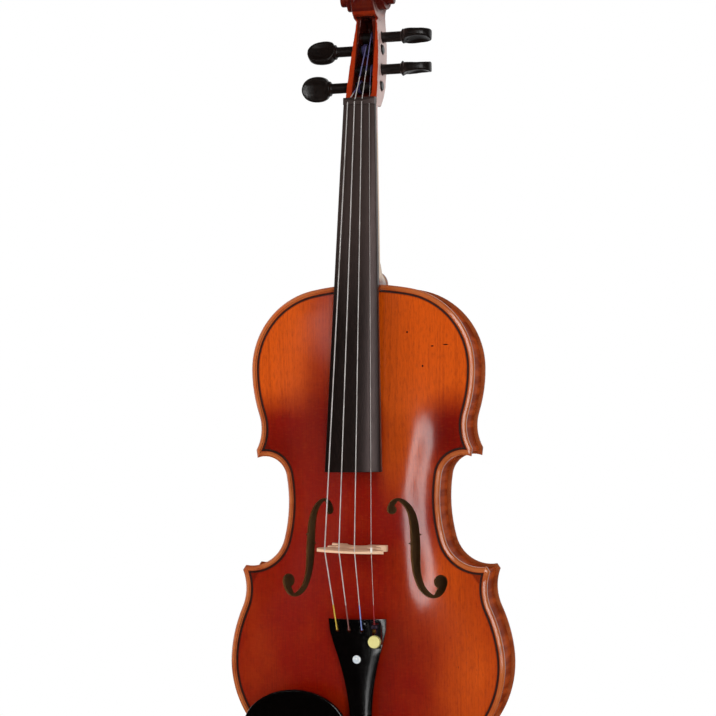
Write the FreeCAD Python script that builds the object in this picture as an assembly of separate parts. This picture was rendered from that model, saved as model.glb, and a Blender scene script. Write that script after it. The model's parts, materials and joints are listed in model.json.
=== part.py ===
import FreeCAD, Part
import math
import os

# A full-size violin, in millimetres.
# Every shape is drawn in body places: x to the treble side, s down the body from its
# upper edge, h forward from the plane where the top plate is glued to the ribs.

doc = FreeCAD.newDocument("violin")
sheet = doc.addObject("Spreadsheet::Sheet", "sizes")

SIZES = (
    # outline of the body
    ("body_length", 356.0), ("upper_half_width", 84.9), ("waist_half_width", 57.4),
    ("lower_half_width", 104.3),
    # plates
    ("edge_thickness", 4.0), ("edge_bevel", 1.1), ("bead_width", 2.7), ("channel_level", 3.3),
    ("top_rise", 12.2), ("back_rise", 11.0), ("plate_thickness", 3.1), ("hollow_sink", 0.6),
    ("arch_end_margin", 7.5), ("hollow_side_margin", 3.0), ("hollow_end_margin", 13.0),
    ("grid_margin", 14.0), ("purfling_inset", 4.1), ("purfling_width", 1.3),
    ("purfling_floor", 1.4), ("purfling_level", 3.2), ("button_radius", 10.8),
    ("button_place", -1.4),
    # sound holes
    ("f_upper_eye_radius", 3.35), ("f_lower_eye_radius", 4.95), ("f_nick", 1.6),
    # ribs, linings, blocks
    ("rib_height", 31.0), ("rib_thickness", 1.2), ("edge_overhang", 2.5), ("lining_width", 2.0),
    ("lining_height", 7.5), ("upper_block_half_width", 25.0), ("upper_block_end", 20.0),
    ("lower_block_half_width", 23.0), ("lower_block_length", 19.0), ("corner_reach", 24.0),
    ("corner_depth", 22.0),
    # bass bar and sound post
    ("bar_x", -17.0), ("bar_thickness", 5.5), ("bar_depth", 11.0), ("post_x", 19.0),
    ("post_setback", 9.0), ("post_radius", 3.0),
    # neck, fingerboard, nut
    ("neck_length", 133.0), ("overstand", 10.0), ("neck_rise", 14.83), ("nut_half_width", 12.0),
    ("board_length", 270.0), ("board_end_half_width", 21.0), ("board_side", 5.0),
    ("board_crown_radius", 42.0), ("board_hollow", 2.6), ("neck_depth", 13.8),
    ("neck_depth_growth", 1.8), ("heel_length", 12.2), ("heel_reach", 29.0),
    ("heel_top_level", -8.0), ("tenon_length", 6.0), ("nut_length", 5.5), ("nut_rise", 0.9),
    ("nut_groove_gap", 0.05),
    # pegbox and scroll
    ("box_length", 72.0), ("box_edge", 1.6), ("flute", 1.3),
    ("eye_place", -216.0), ("eye_level", -28.0), ("volute_radius", 22.0),
    ("volute_half_width", 6.5), ("eye_half_width", 20.8), ("eye_radius", 4.7),
    ("volute_bevel", 1.5), ("volute_dish", 1.6), ("volute_flute", 1.2), ("volute_lap", 0.8),
    # pegs and windings
    ("peg_radius", 3.95), ("peg_gap", 0.3), ("peg_reach", 37.6), ("peg_tip", 0.8),
    ("collar_start", 14.6), ("collar_length", 2.9), ("collar_radius", 5.4), ("collar_band", 0.25),
    ("head_start", 17.2), ("head_half_width", 9.7), ("head_half_thickness", 4.5),
    ("head_dish_depth", 2.0), ("winding_gap", 0.5),
    # strings
    ("nut_string_span", 16.5), ("bridge_string_span", 34.0),
    ("g_radius", 0.42), ("d_radius", 0.4), ("a_radius", 0.35), ("e_radius", 0.16),
    ("g_action", 5.0), ("e_action", 3.5), ("nut_action", 0.35), ("fret_setback", 3.5),
    ("tail_string_span", 29.0), ("string_bend", 1.6), ("stop_short", 0.4),
    # bridge
    ("bridge_foot_span", 41.5), ("bridge_base", 4.5), ("bridge_top_thickness", 1.5),
    ("bridge_bed", 0.25), ("bridge_foot_sink", 2.2),
    ("sleeve_radius", 0.75), ("sleeve_length", 3.6),
    # tailpiece, gut, button, saddle
    ("tail_end_gap", 6.0), ("tail_length", 107.0), ("tail_front_level", 21.5),
    ("tail_end_level", 12.6), ("tail_side", 2.2), ("tail_rise", 5.6), ("tail_wall", 2.3),
    ("tail_front_half_width", 21.6), ("fret_width", 1.8),
    ("fret_rise", 1.0), ("hole_setback", 7.6), ("hole_radius", 1.7), ("slot_half_width", 0.6),
    ("pearl_setback", 29.0), ("pearl_radius", 3.0), ("pearl_depth", 1.2), ("gut_radius", 1.1),
    ("gut_x", 2.6), ("gut_bend", 3.4), ("gut_lap", 15.0), ("gut_nut_radius", 1.6),
    ("gut_nut_length", 4.0),
    ("saddle_half_width", 17.5), ("saddle_length", 6.5), ("saddle_level", 11.0),
    ("saddle_round", 2.4), ("button_level", -15.5), ("button_stem_radius", 4.0),
    ("button_collar_radius", 6.2), ("button_groove_radius", 4.4), ("button_head_radius", 7.2),
    ("collar_stand", 1.6), ("button_groove_width", 4.2), ("button_head_length", 7.2),
    ("button_stem_length", 13.0), ("button_bevel", 1.6), ("ball_radius", 1.6),
    ("ball_reach", 0.9), ("ball_gap", 0.6),
    # fine tuner on the E string
    ("tuner_x", 14.5), ("tuner_lift", 0.6), ("tuner_setback", 1.2), ("tuner_length", 19.6),
    ("tuner_half_width", 4.0), ("seat_gap", 0.1),
    ("tuner_plate", 1.4), ("boss_radius", 3.4), ("boss_height", 3.6), ("screw_setback", 15.2),
    ("screw_side", 1.4),
    ("screw_radius", 1.2), ("screw_head_radius", 4.2), ("screw_head_height", 2.6),
    ("screw_travel", 2.4), ("lever_half_width", 2.0), ("lever_gap", 0.5),
    ("lever_thickness", 2.0), ("pivot_setback", 3.2), ("pivot_radius", 0.7),
    ("claw_reach", 5.4), ("tuner_nut_radius", 3.4), ("tuner_nut_height", 1.4),
    # chinrest and its clamp
    ("rest_half_length", 40.4), ("rest_half_width", 30.4), ("rest_low", 12.4), ("rest_high", 25.0),
    ("shoe_half_length", 24.0), ("shoe_inset", 11.0), ("cork_thickness", 2.2),
    ("rod_spacing", 17.0), ("rod_radius", 1.4), ("rod_standoff", 4.6), ("barrel_radius", 3.0),
    ("barrel_gap", 0.35), ("barrel_top", -5.5), ("barrel_length", 17.0), ("barrel_hole", 0.9),
    ("rod_lap", 5.5), ("rod_top", 9.5), ("foot_gap", 0.3), ("foot_thickness", 2.0),
    ("foot_half_length", 14.0), ("foot_inset", 10.0),
    # where the neck is held: a padded fork under the pegbox
    ("hold_place", -122.0),
)

# Places and radii that follow one size, as shares of it.
BODY_LENGTH_SHARES = (
    ("upper_width_place", 0.173876), ("waist_place", 0.444382), ("lower_width_place", 0.792135),
    ("waist_middle_radius", 0.309831), ("waist_upper_radius", 0.047472),
    ("waist_lower_radius", 0.075000), ("upper_corner_place", 0.339888),
    ("upper_corner_low_place", 0.356180), ("lower_corner_high_place", 0.580056),
    ("lower_corner_place", 0.589888), ("arch_waist_start", 0.435393),
    ("arch_waist_end", 0.466292), ("f_place", 0.540169), ("f_length", 0.204213),
    ("bar_start", 0.120787), ("bar_end", 0.879213), ("bridge_place", 0.539326),
    ("rest_place", 0.913764),
)
UPPER_WIDTH_SHARES = (
    ("arch_upper_half_width", 0.912839), ("upper_corner_x", 0.968198),
    ("upper_corner_low_x", 0.959953), ("upper_end_radius", 2.244994),
    ("upper_shoulder_radius", 0.697291), ("upper_side_radius", 1.269729),
    ("upper_corner_radius", 0.388693),
)
WAIST_WIDTH_SHARES = (
    ("arch_waist_half_width", 0.871080), ("f_x", 0.700348),
)
LOWER_WIDTH_SHARES = (
    ("arch_lower_half_width", 0.930010), ("lower_corner_high_x", 0.878236),
    ("lower_corner_x", 0.901246), ("lower_corner_radius", 0.344199),
    ("lower_side_radius", 1.034516), ("lower_shoulder_radius", 0.715244),
    ("lower_end_radius", 1.837967), ("rest_x", -0.465964), ("shoe_x", -0.441035),
    ("rod_x", -0.345158),
)

# Places worked out from other sizes.
SUMS = (
    ("string_length", "neck_length + bridge_place"), ("post_place", "bridge_place + post_setback"),
    ("tail_front", "body_length - tail_end_gap - tail_length"),
    ("fret_place", "tail_front + fret_setback"), ("hole_place", "tail_front + hole_setback"),
    ("pearl_place", "tail_front + pearl_setback"),
    ("gut_start", "tail_front + tail_length - gut_lap"),
    ("tuner_front", "tail_front + tuner_setback"),
    ("lever_pivot_place", "tail_front + pivot_setback"),
    ("screw_place", "tail_front + screw_setback"),
    ("lower_block_start", "body_length - lower_block_length"),
    ("button_stem_start", "body_length - button_stem_length"),
    ("button_groove_start", "body_length + collar_stand"),
    ("button_groove_end", "button_groove_start + button_groove_width"),
    ("button_end", "button_groove_end + button_head_length"),
)

# Shares, as fractions of a named length.
PEG_PLACE_SHARES = {"g": -0.2220, "d": -0.6250, "e": -0.4030, "a": -0.7639}
PEG_LEVEL_SHARES = {"g": -0.2794, "d": -0.4168, "e": -0.3471, "a": -0.4831}
PEG_SIDES = {"g": -1, "d": -1, "a": 1, "e": 1}
PEG_TURNS = {"g": 12, "d": -24, "a": 78, "e": 90}
WINDING_X_SHARES = {"g": -0.40, "d": -0.23, "a": 0.22, "e": 0.36}
STRING_SHARES = {"g": -0.5, "d": -1 / 6, "a": 1 / 6, "e": 0.5}
STRINGS = ("g", "d", "a", "e")
WINDING_TURNS = 2

ARCH_FULLNESS = 1.8
ARCH_END_POWER = 2.4
ARCH_LENGTH_POWER = 2.6
ARCH_END_FULLNESS = 1.2
OUTER_GRID = (13, 19)
HOLLOW_GRID = (13, 21)
CORD_SIDES = 8
ROUND_STEPS = 17

# Edge of a sound hole from its middle, as shares of its length.
F_OUTER_SHARES = ((-0.274, -0.376), (-0.252, -0.444), (-0.201, -0.487), (-0.151, -0.490),
                  (-0.059, -0.433), (0.006, -0.314), (0.037, -0.125), (0.045, 0.056),
                  (0.052, 0.252), (0.091, 0.385), (0.177, 0.476))
F_INNER_SHARES = ((0.312, 0.345), (0.285, 0.436), (0.231, 0.494), (0.176, 0.508),
                  (0.076, 0.468), (-0.003, 0.341), (-0.044, 0.160), (-0.054, -0.036),
                  (-0.062, -0.210), (-0.095, -0.371), (-0.169, -0.464))
F_UPPER_EYE_SHARE = (-0.228, -0.376)
F_LOWER_EYE_SHARE = (0.243, 0.345)

# Half of the bridge, foot to crown, as shares of the foot span and of the crown height.
BRIDGE_OUTER_SHARES = ((0.5, 0.035), (0.485, 0.09), (0.405, 0.15), (0.345, 0.24),
                       (0.37, 0.335), (0.475, 0.40), (0.485, 0.455), (0.41, 0.50),
                       (0.40, 0.56), (0.47, 0.625), (0.565, 0.69), (0.60, 0.74), (0.575, 0.785))
BRIDGE_ARCH_SHARES = ((0.0, 0.255), (0.10, 0.235), (0.175, 0.165), (0.20, 0.09), (0.235, 0.035))
BRIDGE_STEPS = 25
BRIDGE_HEART_SHARE = (0.0, 0.60, 0.085)
BRIDGE_KIDNEY_SHARE = (0.30, 0.505, 0.075)

# Pegbox stations: place, half-width, front and back, as shares of the box length.
BOX_SHARES = ((0.0, 0.168, -0.070, -0.262), (0.10, 0.170, -0.085, -0.365),
              (0.22, 0.167, -0.125, -0.455), (0.42, 0.157, -0.195, -0.548),
              (0.64, 0.143, -0.265, -0.622), (0.86, 0.120, -0.318, -0.680),
              (1.0, 0.105, -0.325, -0.708))
CAVITY_SHARES = ((0.105, 0.104, -0.270), (0.22, 0.102, -0.378), (0.42, 0.092, -0.470),
                 (0.64, 0.080, -0.545), (0.86, 0.062, -0.590), (0.945, 0.050, -0.560))
VOLUTE_TURNS = 2.6
VOLUTE_SHRINK = 0.547
VOLUTE_START = -0.34
VOLUTE_STEPS = 14
VOLUTE_PARTS = 4

TAIL_SHARES = ((0.0, 1.0), (0.06, 0.985), (0.16, 0.875), (0.30, 0.665), (0.45, 0.50),
               (0.60, 0.40), (0.74, 0.365), (0.88, 0.40), (1.0, 0.415))
HEAD_SHARES = ((0.0, 0.60), (0.08, 0.82), (0.26, 0.97), (0.48, 1.0), (0.70, 0.92), (0.88, 0.70),
               (0.97, 0.42), (1.0, 0.20))
HEAD_RIM_SHARES = (1.0, 0.74, 0.84)
HEAD_STEPS = 11
THROAT_SHARE = 0.9
TAIL_STEPS = 12
BUTTON_FACES = 24
REST_STEPS = 40
REST_OUTER_SHARES = ((0.60, 0.0), (0.80, 0.10), (0.93, 0.36), (0.985, 0.66), (1.0, 0.85),
                     (0.985, 0.96), (0.95, 1.0))
REST_INNER_SHARES = ((0.95, 1.0), (0.90, 0.95), (0.78, 0.78), (0.60, 0.60), (0.36, 0.44),
                     (0.12, 0.37))

entries = [(alias, str(value)) for alias, value in SIZES]
for followed, table in (("body_length", BODY_LENGTH_SHARES), ("upper_half_width", UPPER_WIDTH_SHARES),
                        ("waist_half_width", WAIST_WIDTH_SHARES),
                        ("lower_half_width", LOWER_WIDTH_SHARES)):
    entries += [(alias, "=%s * %s" % (followed, share)) for alias, share in table]
entries += [(alias, "=" + sum_of) for alias, sum_of in SUMS]
for row, (alias, value) in enumerate(entries, start=1):
    sheet.set("A%d" % row, alias)
    sheet.set("B%d" % row, value)
    sheet.setAlias("B%d" % row, alias)
doc.recompute()


class Lengths:
    """The sheet's lengths by name."""


size = Lengths()
for alias, _ in entries:
    setattr(size, alias, float(sheet.get(alias)))

parts = []


# Small helpers

def at(x, s, h):
    """A point of the body: x to the treble side, s down the body, h to the front."""
    return FreeCAD.Vector(x, -h, -s)


ACROSS = at(1, 0, 0)
DOWN = at(0, 1, 0)
FRONT = at(0, 0, 1)


def glue_level(s):
    """Front of the neck, where the fingerboard is glued, at place s."""
    return size.overstand + size.neck_rise * s / size.neck_length


HOLD_LEVEL = glue_level(size.hold_place) - size.neck_depth
HOLD = FreeCAD.Placement(at(0, size.hold_place, HOLD_LEVEL) * -1, FreeCAD.Rotation())


def keep(label, shape):
    """Adds one finished sub-part to the document, in the shared frame."""
    item = doc.addObject("Part::Feature", label)
    item.Label = label
    item.Shape = shape
    item.Placement = HOLD.multiply(shape.Placement)
    parts.append(item)
    return item


def join(shapes):
    """One solid from several that touch or overlap."""
    return shapes[0].fuse(list(shapes[1:])).removeSplitter()


def mirrored(shape):
    return shape.mirror(FreeCAD.Vector(), ACROSS)


def polygon(points, level=0):
    """Closed wire through (x, s) points at one level."""
    ring = [at(x, s, level) for x, s in points]
    return Part.makePolygon(ring + ring[:1])


def closed(points):
    """Closed wire through points in space."""
    return Part.makePolygon(list(points) + [points[0]])


def prism(wire, low, high):
    """Solid between two levels over a wire drawn at level zero."""
    face = Part.Face(wire)
    face.translate(at(0, 0, low))
    return face.extrude(at(0, 0, high - low))


def block(x0, x1, s0, s1, h0, h1):
    """Box between two places along each direction."""
    return prism(polygon(((x0, s0), (x1, s0), (x1, s1), (x0, s1))), h0, h1)


def rod(start, end, radius):
    """Round bar from one point to another."""
    axis = end - start
    return Part.makeCylinder(radius, axis.Length, start, axis)


def smooth(points):
    curve = Part.BSplineCurve()
    curve.interpolate(points)
    return curve.toShape()


def mix(a, b, share):
    return a + (b - a) * share


def follow(stations, share):
    """Value at a share along a list of shares and values."""
    for low, high in zip(stations, stations[1:]):
        if share <= high[0]:
            return mix(low[1], high[1], (share - low[0]) / (high[0] - low[0]))
    return stations[-1][1]


def eased(points, steps):
    """Points along a smooth curve through the given ones."""
    return smooth(points).discretize(Number=steps)


def skin(rings):
    """Solid through rings of points, with flat three-sided facets between them."""
    count = len(rings[0])
    faces = []
    for first, second in zip(rings, rings[1:]):
        for k in range(count):
            a, b = first[k], first[(k + 1) % count]
            c, d = second[(k + 1) % count], second[k]
            faces.append(Part.Face(closed([a, b, c])))
            faces.append(Part.Face(closed([a, c, d])))
    for cap in (rings[0], rings[-1]):
        faces.append(Part.Face(closed(cap)))
    solid = Part.Solid(Part.makeShell(faces))
    if solid.Volume < 0:
        solid.reverse()
    return solid


def around(point, way, radius, sides):
    """Points of a many-sided section, across its way."""
    across = way.cross(ACROSS if abs(way.normalize().x) < 0.5 else DOWN).normalize()
    other = way.cross(across)
    turns = [2 * math.pi * side / sides for side in range(sides)]
    return [point + (across * math.cos(turn) + other * math.sin(turn)) * radius
            for turn in turns]


def turned(stations, way, sides):
    """Many-sided solid through (place along the way, radius) stations."""
    return skin([around(way * place, way * 1, radius, sides) for place, radius in stations])


def tube(points, radius, bend):
    """Cord through points, each inner corner rounded to the bend radius."""
    edges = []
    start = points[0]
    for before, corner, after in zip(points, points[1:], points[2:]):
        back = (before - corner).normalize()
        on = (after - corner).normalize()
        half = back.getAngle(on) / 2
        reach = bend / math.tan(half)
        middle = (back + on).normalize()
        first = corner + back * reach
        last = corner + on * reach
        nearest = corner + middle * (bend / math.sin(half) - bend)
        edges.append(Part.LineSegment(start, first).toShape())
        edges.append(Part.Arc(first, nearest, last).toShape())
        start = last
    edges.append(Part.LineSegment(start, points[-1]).toShape())
    section = closed(around(points[0], points[1] - points[0], radius, CORD_SIDES))
    return Part.Wire(edges).makePipeShell([section], True, False)


# Outline of the body

def crossings(centre_a, radius_a, centre_b, radius_b):
    """The two points where two circles cross."""
    dx = centre_b[0] - centre_a[0]
    ds = centre_b[1] - centre_a[1]
    span = math.hypot(dx, ds)
    along = (radius_a ** 2 - radius_b ** 2 + span ** 2) / (2 * span)
    off = math.sqrt(max(radius_a ** 2 - along ** 2, 0))
    foot = (centre_a[0] + along * dx / span, centre_a[1] + along * ds / span)
    return ((foot[0] - off * ds / span, foot[1] + off * dx / span),
            (foot[0] + off * ds / span, foot[1] - off * dx / span))


def leaving(centre, radius, towards):
    """Point of a circle on the line from its centre through another centre."""
    dx = towards[0] - centre[0]
    ds = towards[1] - centre[1]
    span = math.hypot(dx, ds)
    return (centre[0] + radius * dx / span, centre[1] + radius * ds / span)


def arc(centre, radius, start, end):
    first = math.atan2(start[1] - centre[1], start[0] - centre[0])
    last = math.atan2(end[1] - centre[1], end[0] - centre[0])
    turn = (last - first + math.pi) % (2 * math.pi) - math.pi
    middle = first + turn / 2
    mid = (centre[0] + radius * math.cos(middle), centre[1] + radius * math.sin(middle))
    return Part.Arc(at(*start, 0), at(*mid, 0), at(*end, 0)).toShape()


def bout(end_place, end_centre, end_radius, shoulder_radius, side, side_radius, corner_radius,
         corner, outward):
    """Arcs of one bout's half, from the centre line to its corner."""
    side_centre = (side[0] - side_radius, side[1])
    end_mid = (0, end_centre)
    shoulder = max(crossings(end_mid, end_radius - shoulder_radius,
                             side_centre, side_radius - shoulder_radius),
                   key=lambda point: point[1] * outward)
    hollow = max(crossings(side_centre, side_radius + corner_radius, corner, corner_radius),
                 key=lambda point: point[0])
    first = leaving(end_mid, end_radius, shoulder)
    second = leaving(side_centre, side_radius, shoulder)
    third = leaving(side_centre, side_radius, hollow)
    return [arc(end_mid, end_radius, (0, end_place), first),
            arc(shoulder, shoulder_radius, first, second),
            arc(side_centre, side_radius, second, third),
            arc(hollow, corner_radius, third, corner)]


def waist(high, low):
    """Arcs of the inward curve between the two corners."""
    middle = (size.waist_half_width + size.waist_middle_radius, size.waist_place)
    radius = size.waist_middle_radius
    upper = min(crossings(middle, radius - size.waist_upper_radius,
                          high, size.waist_upper_radius), key=lambda point: point[0])
    lower = min(crossings(middle, radius - size.waist_lower_radius,
                          low, size.waist_lower_radius), key=lambda point: point[0])
    first = leaving(middle, radius, upper)
    second = leaving(middle, radius, lower)
    return [arc(upper, size.waist_upper_radius, high, first), arc(middle, radius, first, second),
            arc(lower, size.waist_lower_radius, second, low)]


def body_outline():
    corner_one = (size.upper_corner_x, size.upper_corner_place)
    corner_two = (size.upper_corner_low_x, size.upper_corner_low_place)
    corner_three = (size.lower_corner_high_x, size.lower_corner_high_place)
    corner_four = (size.lower_corner_x, size.lower_corner_place)
    half = bout(0, size.upper_end_radius, size.upper_end_radius, size.upper_shoulder_radius,
                (size.upper_half_width, size.upper_width_place), size.upper_side_radius,
                size.upper_corner_radius, corner_one, -1)
    half.append(Part.LineSegment(at(*corner_one, 0), at(*corner_two, 0)).toShape())
    half += waist(corner_two, corner_three)
    half.append(Part.LineSegment(at(*corner_three, 0), at(*corner_four, 0)).toShape())
    half += bout(size.body_length, size.body_length - size.lower_end_radius,
                 size.lower_end_radius, size.lower_shoulder_radius,
                 (size.lower_half_width, size.lower_width_place), size.lower_side_radius,
                 size.lower_corner_radius, corner_four, 1)
    both = half + [mirrored(edge) for edge in half]
    return Part.Wire(Part.__sortEdges__(both))


OUTLINE = body_outline()


def inset(distance):
    """The outline moved inwards, its arcs kept as arcs."""
    return OUTLINE.makeOffset2D(-distance)


# Arching of the plates

def arch_half_width(s):
    """Half-width over which a plate swells, cutting across the corners."""
    if s < size.upper_width_place:
        rest = (size.upper_width_place - s) / (size.upper_width_place - size.arch_end_margin)
        return size.arch_upper_half_width * max(1 - rest ** ARCH_END_POWER, 0) ** (
            1 / ARCH_END_POWER)
    if s > size.lower_width_place:
        end = size.body_length - size.arch_end_margin
        rest = (s - size.lower_width_place) / (end - size.lower_width_place)
        return size.arch_lower_half_width * max(1 - rest ** ARCH_END_POWER, 0) ** (
            1 / ARCH_END_POWER)
    if s < size.arch_waist_start:
        share = (s - size.upper_width_place) / (size.arch_waist_start - size.upper_width_place)
        wide = size.arch_upper_half_width
    elif s > size.arch_waist_end:
        share = (size.lower_width_place - s) / (size.lower_width_place - size.arch_waist_end)
        wide = size.arch_lower_half_width
    else:
        return size.arch_waist_half_width
    return mix(wide, size.arch_waist_half_width, (1 - math.cos(math.pi * share)) / 2)


def arch_share(x, s, side_margin=0, end_margin=0):
    """How much of the full rise the arch has at a place, from nothing to one."""
    width = arch_half_width(s) - side_margin
    middle = size.body_length / 2
    along = abs(s - middle) / (middle - size.arch_end_margin - end_margin)
    if width <= 0 or abs(x) >= width or along >= 1:
        return 0
    lengthwise = (1 - along ** ARCH_LENGTH_POWER) ** ARCH_END_FULLNESS
    return lengthwise * (1 - (x / width) ** 2) ** ARCH_FULLNESS


def arch_points(height, grid):
    """Grid of points on a curved sheet whose level is given by a formula."""
    reach = size.lower_half_width + size.grid_margin
    columns, count = grid
    rows = []
    for row in range(count):
        s = mix(-size.grid_margin, size.body_length + size.grid_margin, row / (count - 1))
        rows.append([at(x, s, height(x, s)) for x in
                     (mix(-reach, reach, column / (columns - 1)) for column in range(columns))])
    return rows


def hollow_solid(height, depth):
    """Room behind a plate, down to a depth, under flat facets."""
    rows = arch_points(height, HOLLOW_GRID)
    floor = [[at(point.x, -point.z, -depth) for point in row] for row in rows]
    faces = []

    def panel(a, b, c, d):
        faces.append(Part.Face(closed([a, b, c])))
        faces.append(Part.Face(closed([a, c, d])))

    last = len(rows[0]) - 1
    for near, far in zip(rows, rows[1:]):
        for k in range(last):
            panel(near[k], near[k + 1], far[k + 1], far[k])
    for near, far, low, deep in zip(rows, rows[1:], floor, floor[1:]):
        for k in (0, last):
            panel(near[k], far[k], deep[k], low[k])
    for row, low in ((rows[0], floor[0]), (rows[-1], floor[-1])):
        for k in range(last):
            panel(row[k], row[k + 1], low[k + 1], low[k])
    for low, deep in zip(floor, floor[1:]):
        for k in range(last):
            panel(low[k], low[k + 1], deep[k + 1], deep[k])
    solid = Part.Solid(Part.makeShell(faces))
    if solid.Volume < 0:
        solid.reverse()
    return solid


def arch_solid(height, depth, grid):
    """Everything within a depth behind a smooth curved sheet."""
    surface = Part.BSplineSurface()
    surface.interpolate(arch_points(height, grid))
    return surface.toShape().extrude(FRONT * -depth)


def outer_level(rise):
    return lambda x, s: size.channel_level + rise * arch_share(x, s)


def hollow_level(rise):
    peak = size.channel_level + rise - size.plate_thickness + size.hollow_sink
    return lambda x, s: peak * arch_share(
        x, s, size.hollow_side_margin, size.hollow_end_margin) - size.hollow_sink


def plate(rise, wire):
    """Arched plate with its edge, bead and channel, glue side at level zero."""
    rim = prism(wire, 0, size.edge_thickness)
    border = [edge for edge in rim.Edges
              if abs(abs(edge.BoundBox.YMax) - abs(edge.BoundBox.YMin)) < size.hollow_sink / 100]
    rim = rim.makeChamfer(size.edge_bevel, border)
    depth = rise + size.edge_thickness + size.plate_thickness
    reach = size.edge_thickness + rise * 2
    field = prism(inset(size.bead_width), 0, reach)
    swell = field.common(arch_solid(outer_level(rise), depth * 2, OUTER_GRID))
    hollow = hollow_solid(hollow_level(rise), size.rib_height * 2)
    return rim.cut(field).fuse(swell).cut(hollow), hollow


def purfling_ring(low, high):
    """The inlaid strip round a plate."""
    outer = prism(inset(size.purfling_inset), low, high)
    return outer.cut(prism(inset(size.purfling_inset + size.purfling_width), low, high))


def turned_to_back(shape):
    """A plate laid on the back edge of the ribs, its arch facing rearwards."""
    shape = shape.mirror(FreeCAD.Vector(), FRONT)
    shape.translate(at(0, 0, -size.rib_height))
    return shape


def f_hole():
    """Cutter for the sound hole of the treble side."""
    def place(share):
        return (size.f_x + share[0] * size.f_length, size.f_place + share[1] * size.f_length)
    low = -size.rib_height / 4
    high = size.top_rise * 2
    outer = [at(*place(share), 0) for share in F_OUTER_SHARES]
    inner = [at(*place(share), 0) for share in F_INNER_SHARES]
    upper_eye = at(*place(F_UPPER_EYE_SHARE), 0)
    lower_eye = at(*place(F_LOWER_EYE_SHARE), 0)
    stem = Part.Wire([smooth(outer), Part.LineSegment(outer[-1], lower_eye).toShape(),
                      Part.LineSegment(lower_eye, inner[0]).toShape(), smooth(inner),
                      Part.LineSegment(inner[-1], upper_eye).toShape(),
                      Part.LineSegment(upper_eye, outer[0]).toShape()])
    shapes = [prism(stem, low, high)]
    for eye, radius in ((upper_eye, size.f_upper_eye_radius), (lower_eye, size.f_lower_eye_radius)):
        shapes.append(rod(eye + FRONT * low, eye + FRONT * high, radius))
    for share, way in ((F_OUTER_SHARES[6], 1), (F_INNER_SHARES[7], -1)):
        x, s = place(share)
        nick = size.f_nick
        shapes.append(prism(polygon(((x - way * nick, s - nick), (x + way * nick, s),
                                     (x - way * nick, s + nick))), low, high))
    return join(shapes)


# Ribs, linings and blocks

def corner_line(high, low):
    """Two points on the line that splits a corner: well outside and well inside it."""
    tip = ((high[0] + low[0]) / 2, (high[1] + low[1]) / 2)
    slant = size.corner_depth / 6 * (1 if tip[1] < size.waist_place else -1)
    return ((tip[0] + size.corner_reach, tip[1] + slant),
            (tip[0] - size.corner_reach * 1.5, tip[1] - slant * 1.5))


def rib_regions():
    """Areas of the six ribs, for the treble side: upper, waist and lower."""
    upper_out, upper_in = corner_line((size.upper_corner_x, size.upper_corner_place),
                                      (size.upper_corner_low_x, size.upper_corner_low_place))
    lower_out, lower_in = corner_line((size.lower_corner_high_x, size.lower_corner_high_place),
                                      (size.lower_corner_x, size.lower_corner_place))
    far = size.lower_half_width * 1.3
    top = -size.corner_reach
    bottom = size.body_length + size.corner_reach
    return {"upper": ((0, top), (far, top), (far, upper_out[1]), upper_out, upper_in,
                      (0, upper_in[1])),
            "waist": (upper_in, upper_out, lower_out, lower_in),
            "lower": ((0, lower_in[1]), lower_in, lower_out, (far, lower_out[1]), (far, bottom),
                      (0, bottom))}


def neck_root(length):
    """Foot of the neck that is let into the upper block."""
    top_half = board_half_width(0)
    return closed([at(-top_half, 0, size.overstand), at(top_half, 0, size.overstand),
                   at(size.button_radius, 0, -size.rib_height),
                   at(-size.button_radius, 0, -size.rib_height)]), length


def board_half_width(s):
    """Half-width of the fingerboard at place s."""
    return mix(size.nut_half_width, size.board_end_half_width,
               (s + size.neck_length) / size.board_length)


def tenon_solid():
    wire, length = neck_root(size.tenon_length)
    return Part.Face(wire).extrude(DOWN * length)


def corner_block(tip_high, tip_low):
    """Block filling one corner between the two ribs."""
    x = max(tip_high[0], tip_low[0])
    s = (tip_high[1] + tip_low[1]) / 2
    way = 1 if s < size.waist_place else -1
    reach = size.corner_reach
    depth = size.corner_depth
    return block_prism(((x + reach, s - way * reach), (x + reach, s + way * depth),
                        (x - reach, s + way * depth / 2), (x - reach / 2, s - way * reach)))


def block_prism(points):
    return prism(polygon(points), -size.rib_height, 0)


ROOT = tenon_solid()
RIB_OUT = inset(size.edge_overhang)
RIB_IN = inset(size.edge_overhang + size.rib_thickness)
LINING_IN = inset(size.edge_overhang + size.rib_thickness + size.lining_width)
INSIDE = prism(RIB_IN, -size.rib_height, 0)

TOP, TOP_HOLLOW = plate(size.top_rise, OUTLINE)
BACK, BACK_HOLLOW = plate(size.back_rise, OUTLINE)
BACK = BACK.fuse(rod(at(0, size.button_place, 0), at(0, size.button_place, size.edge_thickness),
                     size.button_radius)).removeSplitter()
BACK_HOLLOW = turned_to_back(BACK_HOLLOW)


# Places of the strings

def string_x(name, span):
    return STRING_SHARES[name] * span


def string_radius(name):
    return getattr(size, name + "_radius")


def board_top(x, s):
    """Playing surface of the fingerboard."""
    half = board_half_width(s)
    radius = size.board_crown_radius
    crown = radius - math.sqrt(radius ** 2 - half ** 2)
    return (glue_level(s) + size.board_side + crown
            - radius + math.sqrt(radius ** 2 - x ** 2))


def action(name):
    """Height of a string over the end of the fingerboard, from bass to treble."""
    return mix(size.g_action, size.e_action, STRING_SHARES[name] + 0.5)


BRIDGE_PLACE = size.bridge_place
BOARD_END = size.board_length - size.neck_length


def nut_point(name):
    x = string_x(name, size.nut_string_span)
    lift = size.nut_action + string_radius(name)
    return at(x, -size.neck_length - size.nut_length / 3, board_top(x, -size.neck_length) + lift)


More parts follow.
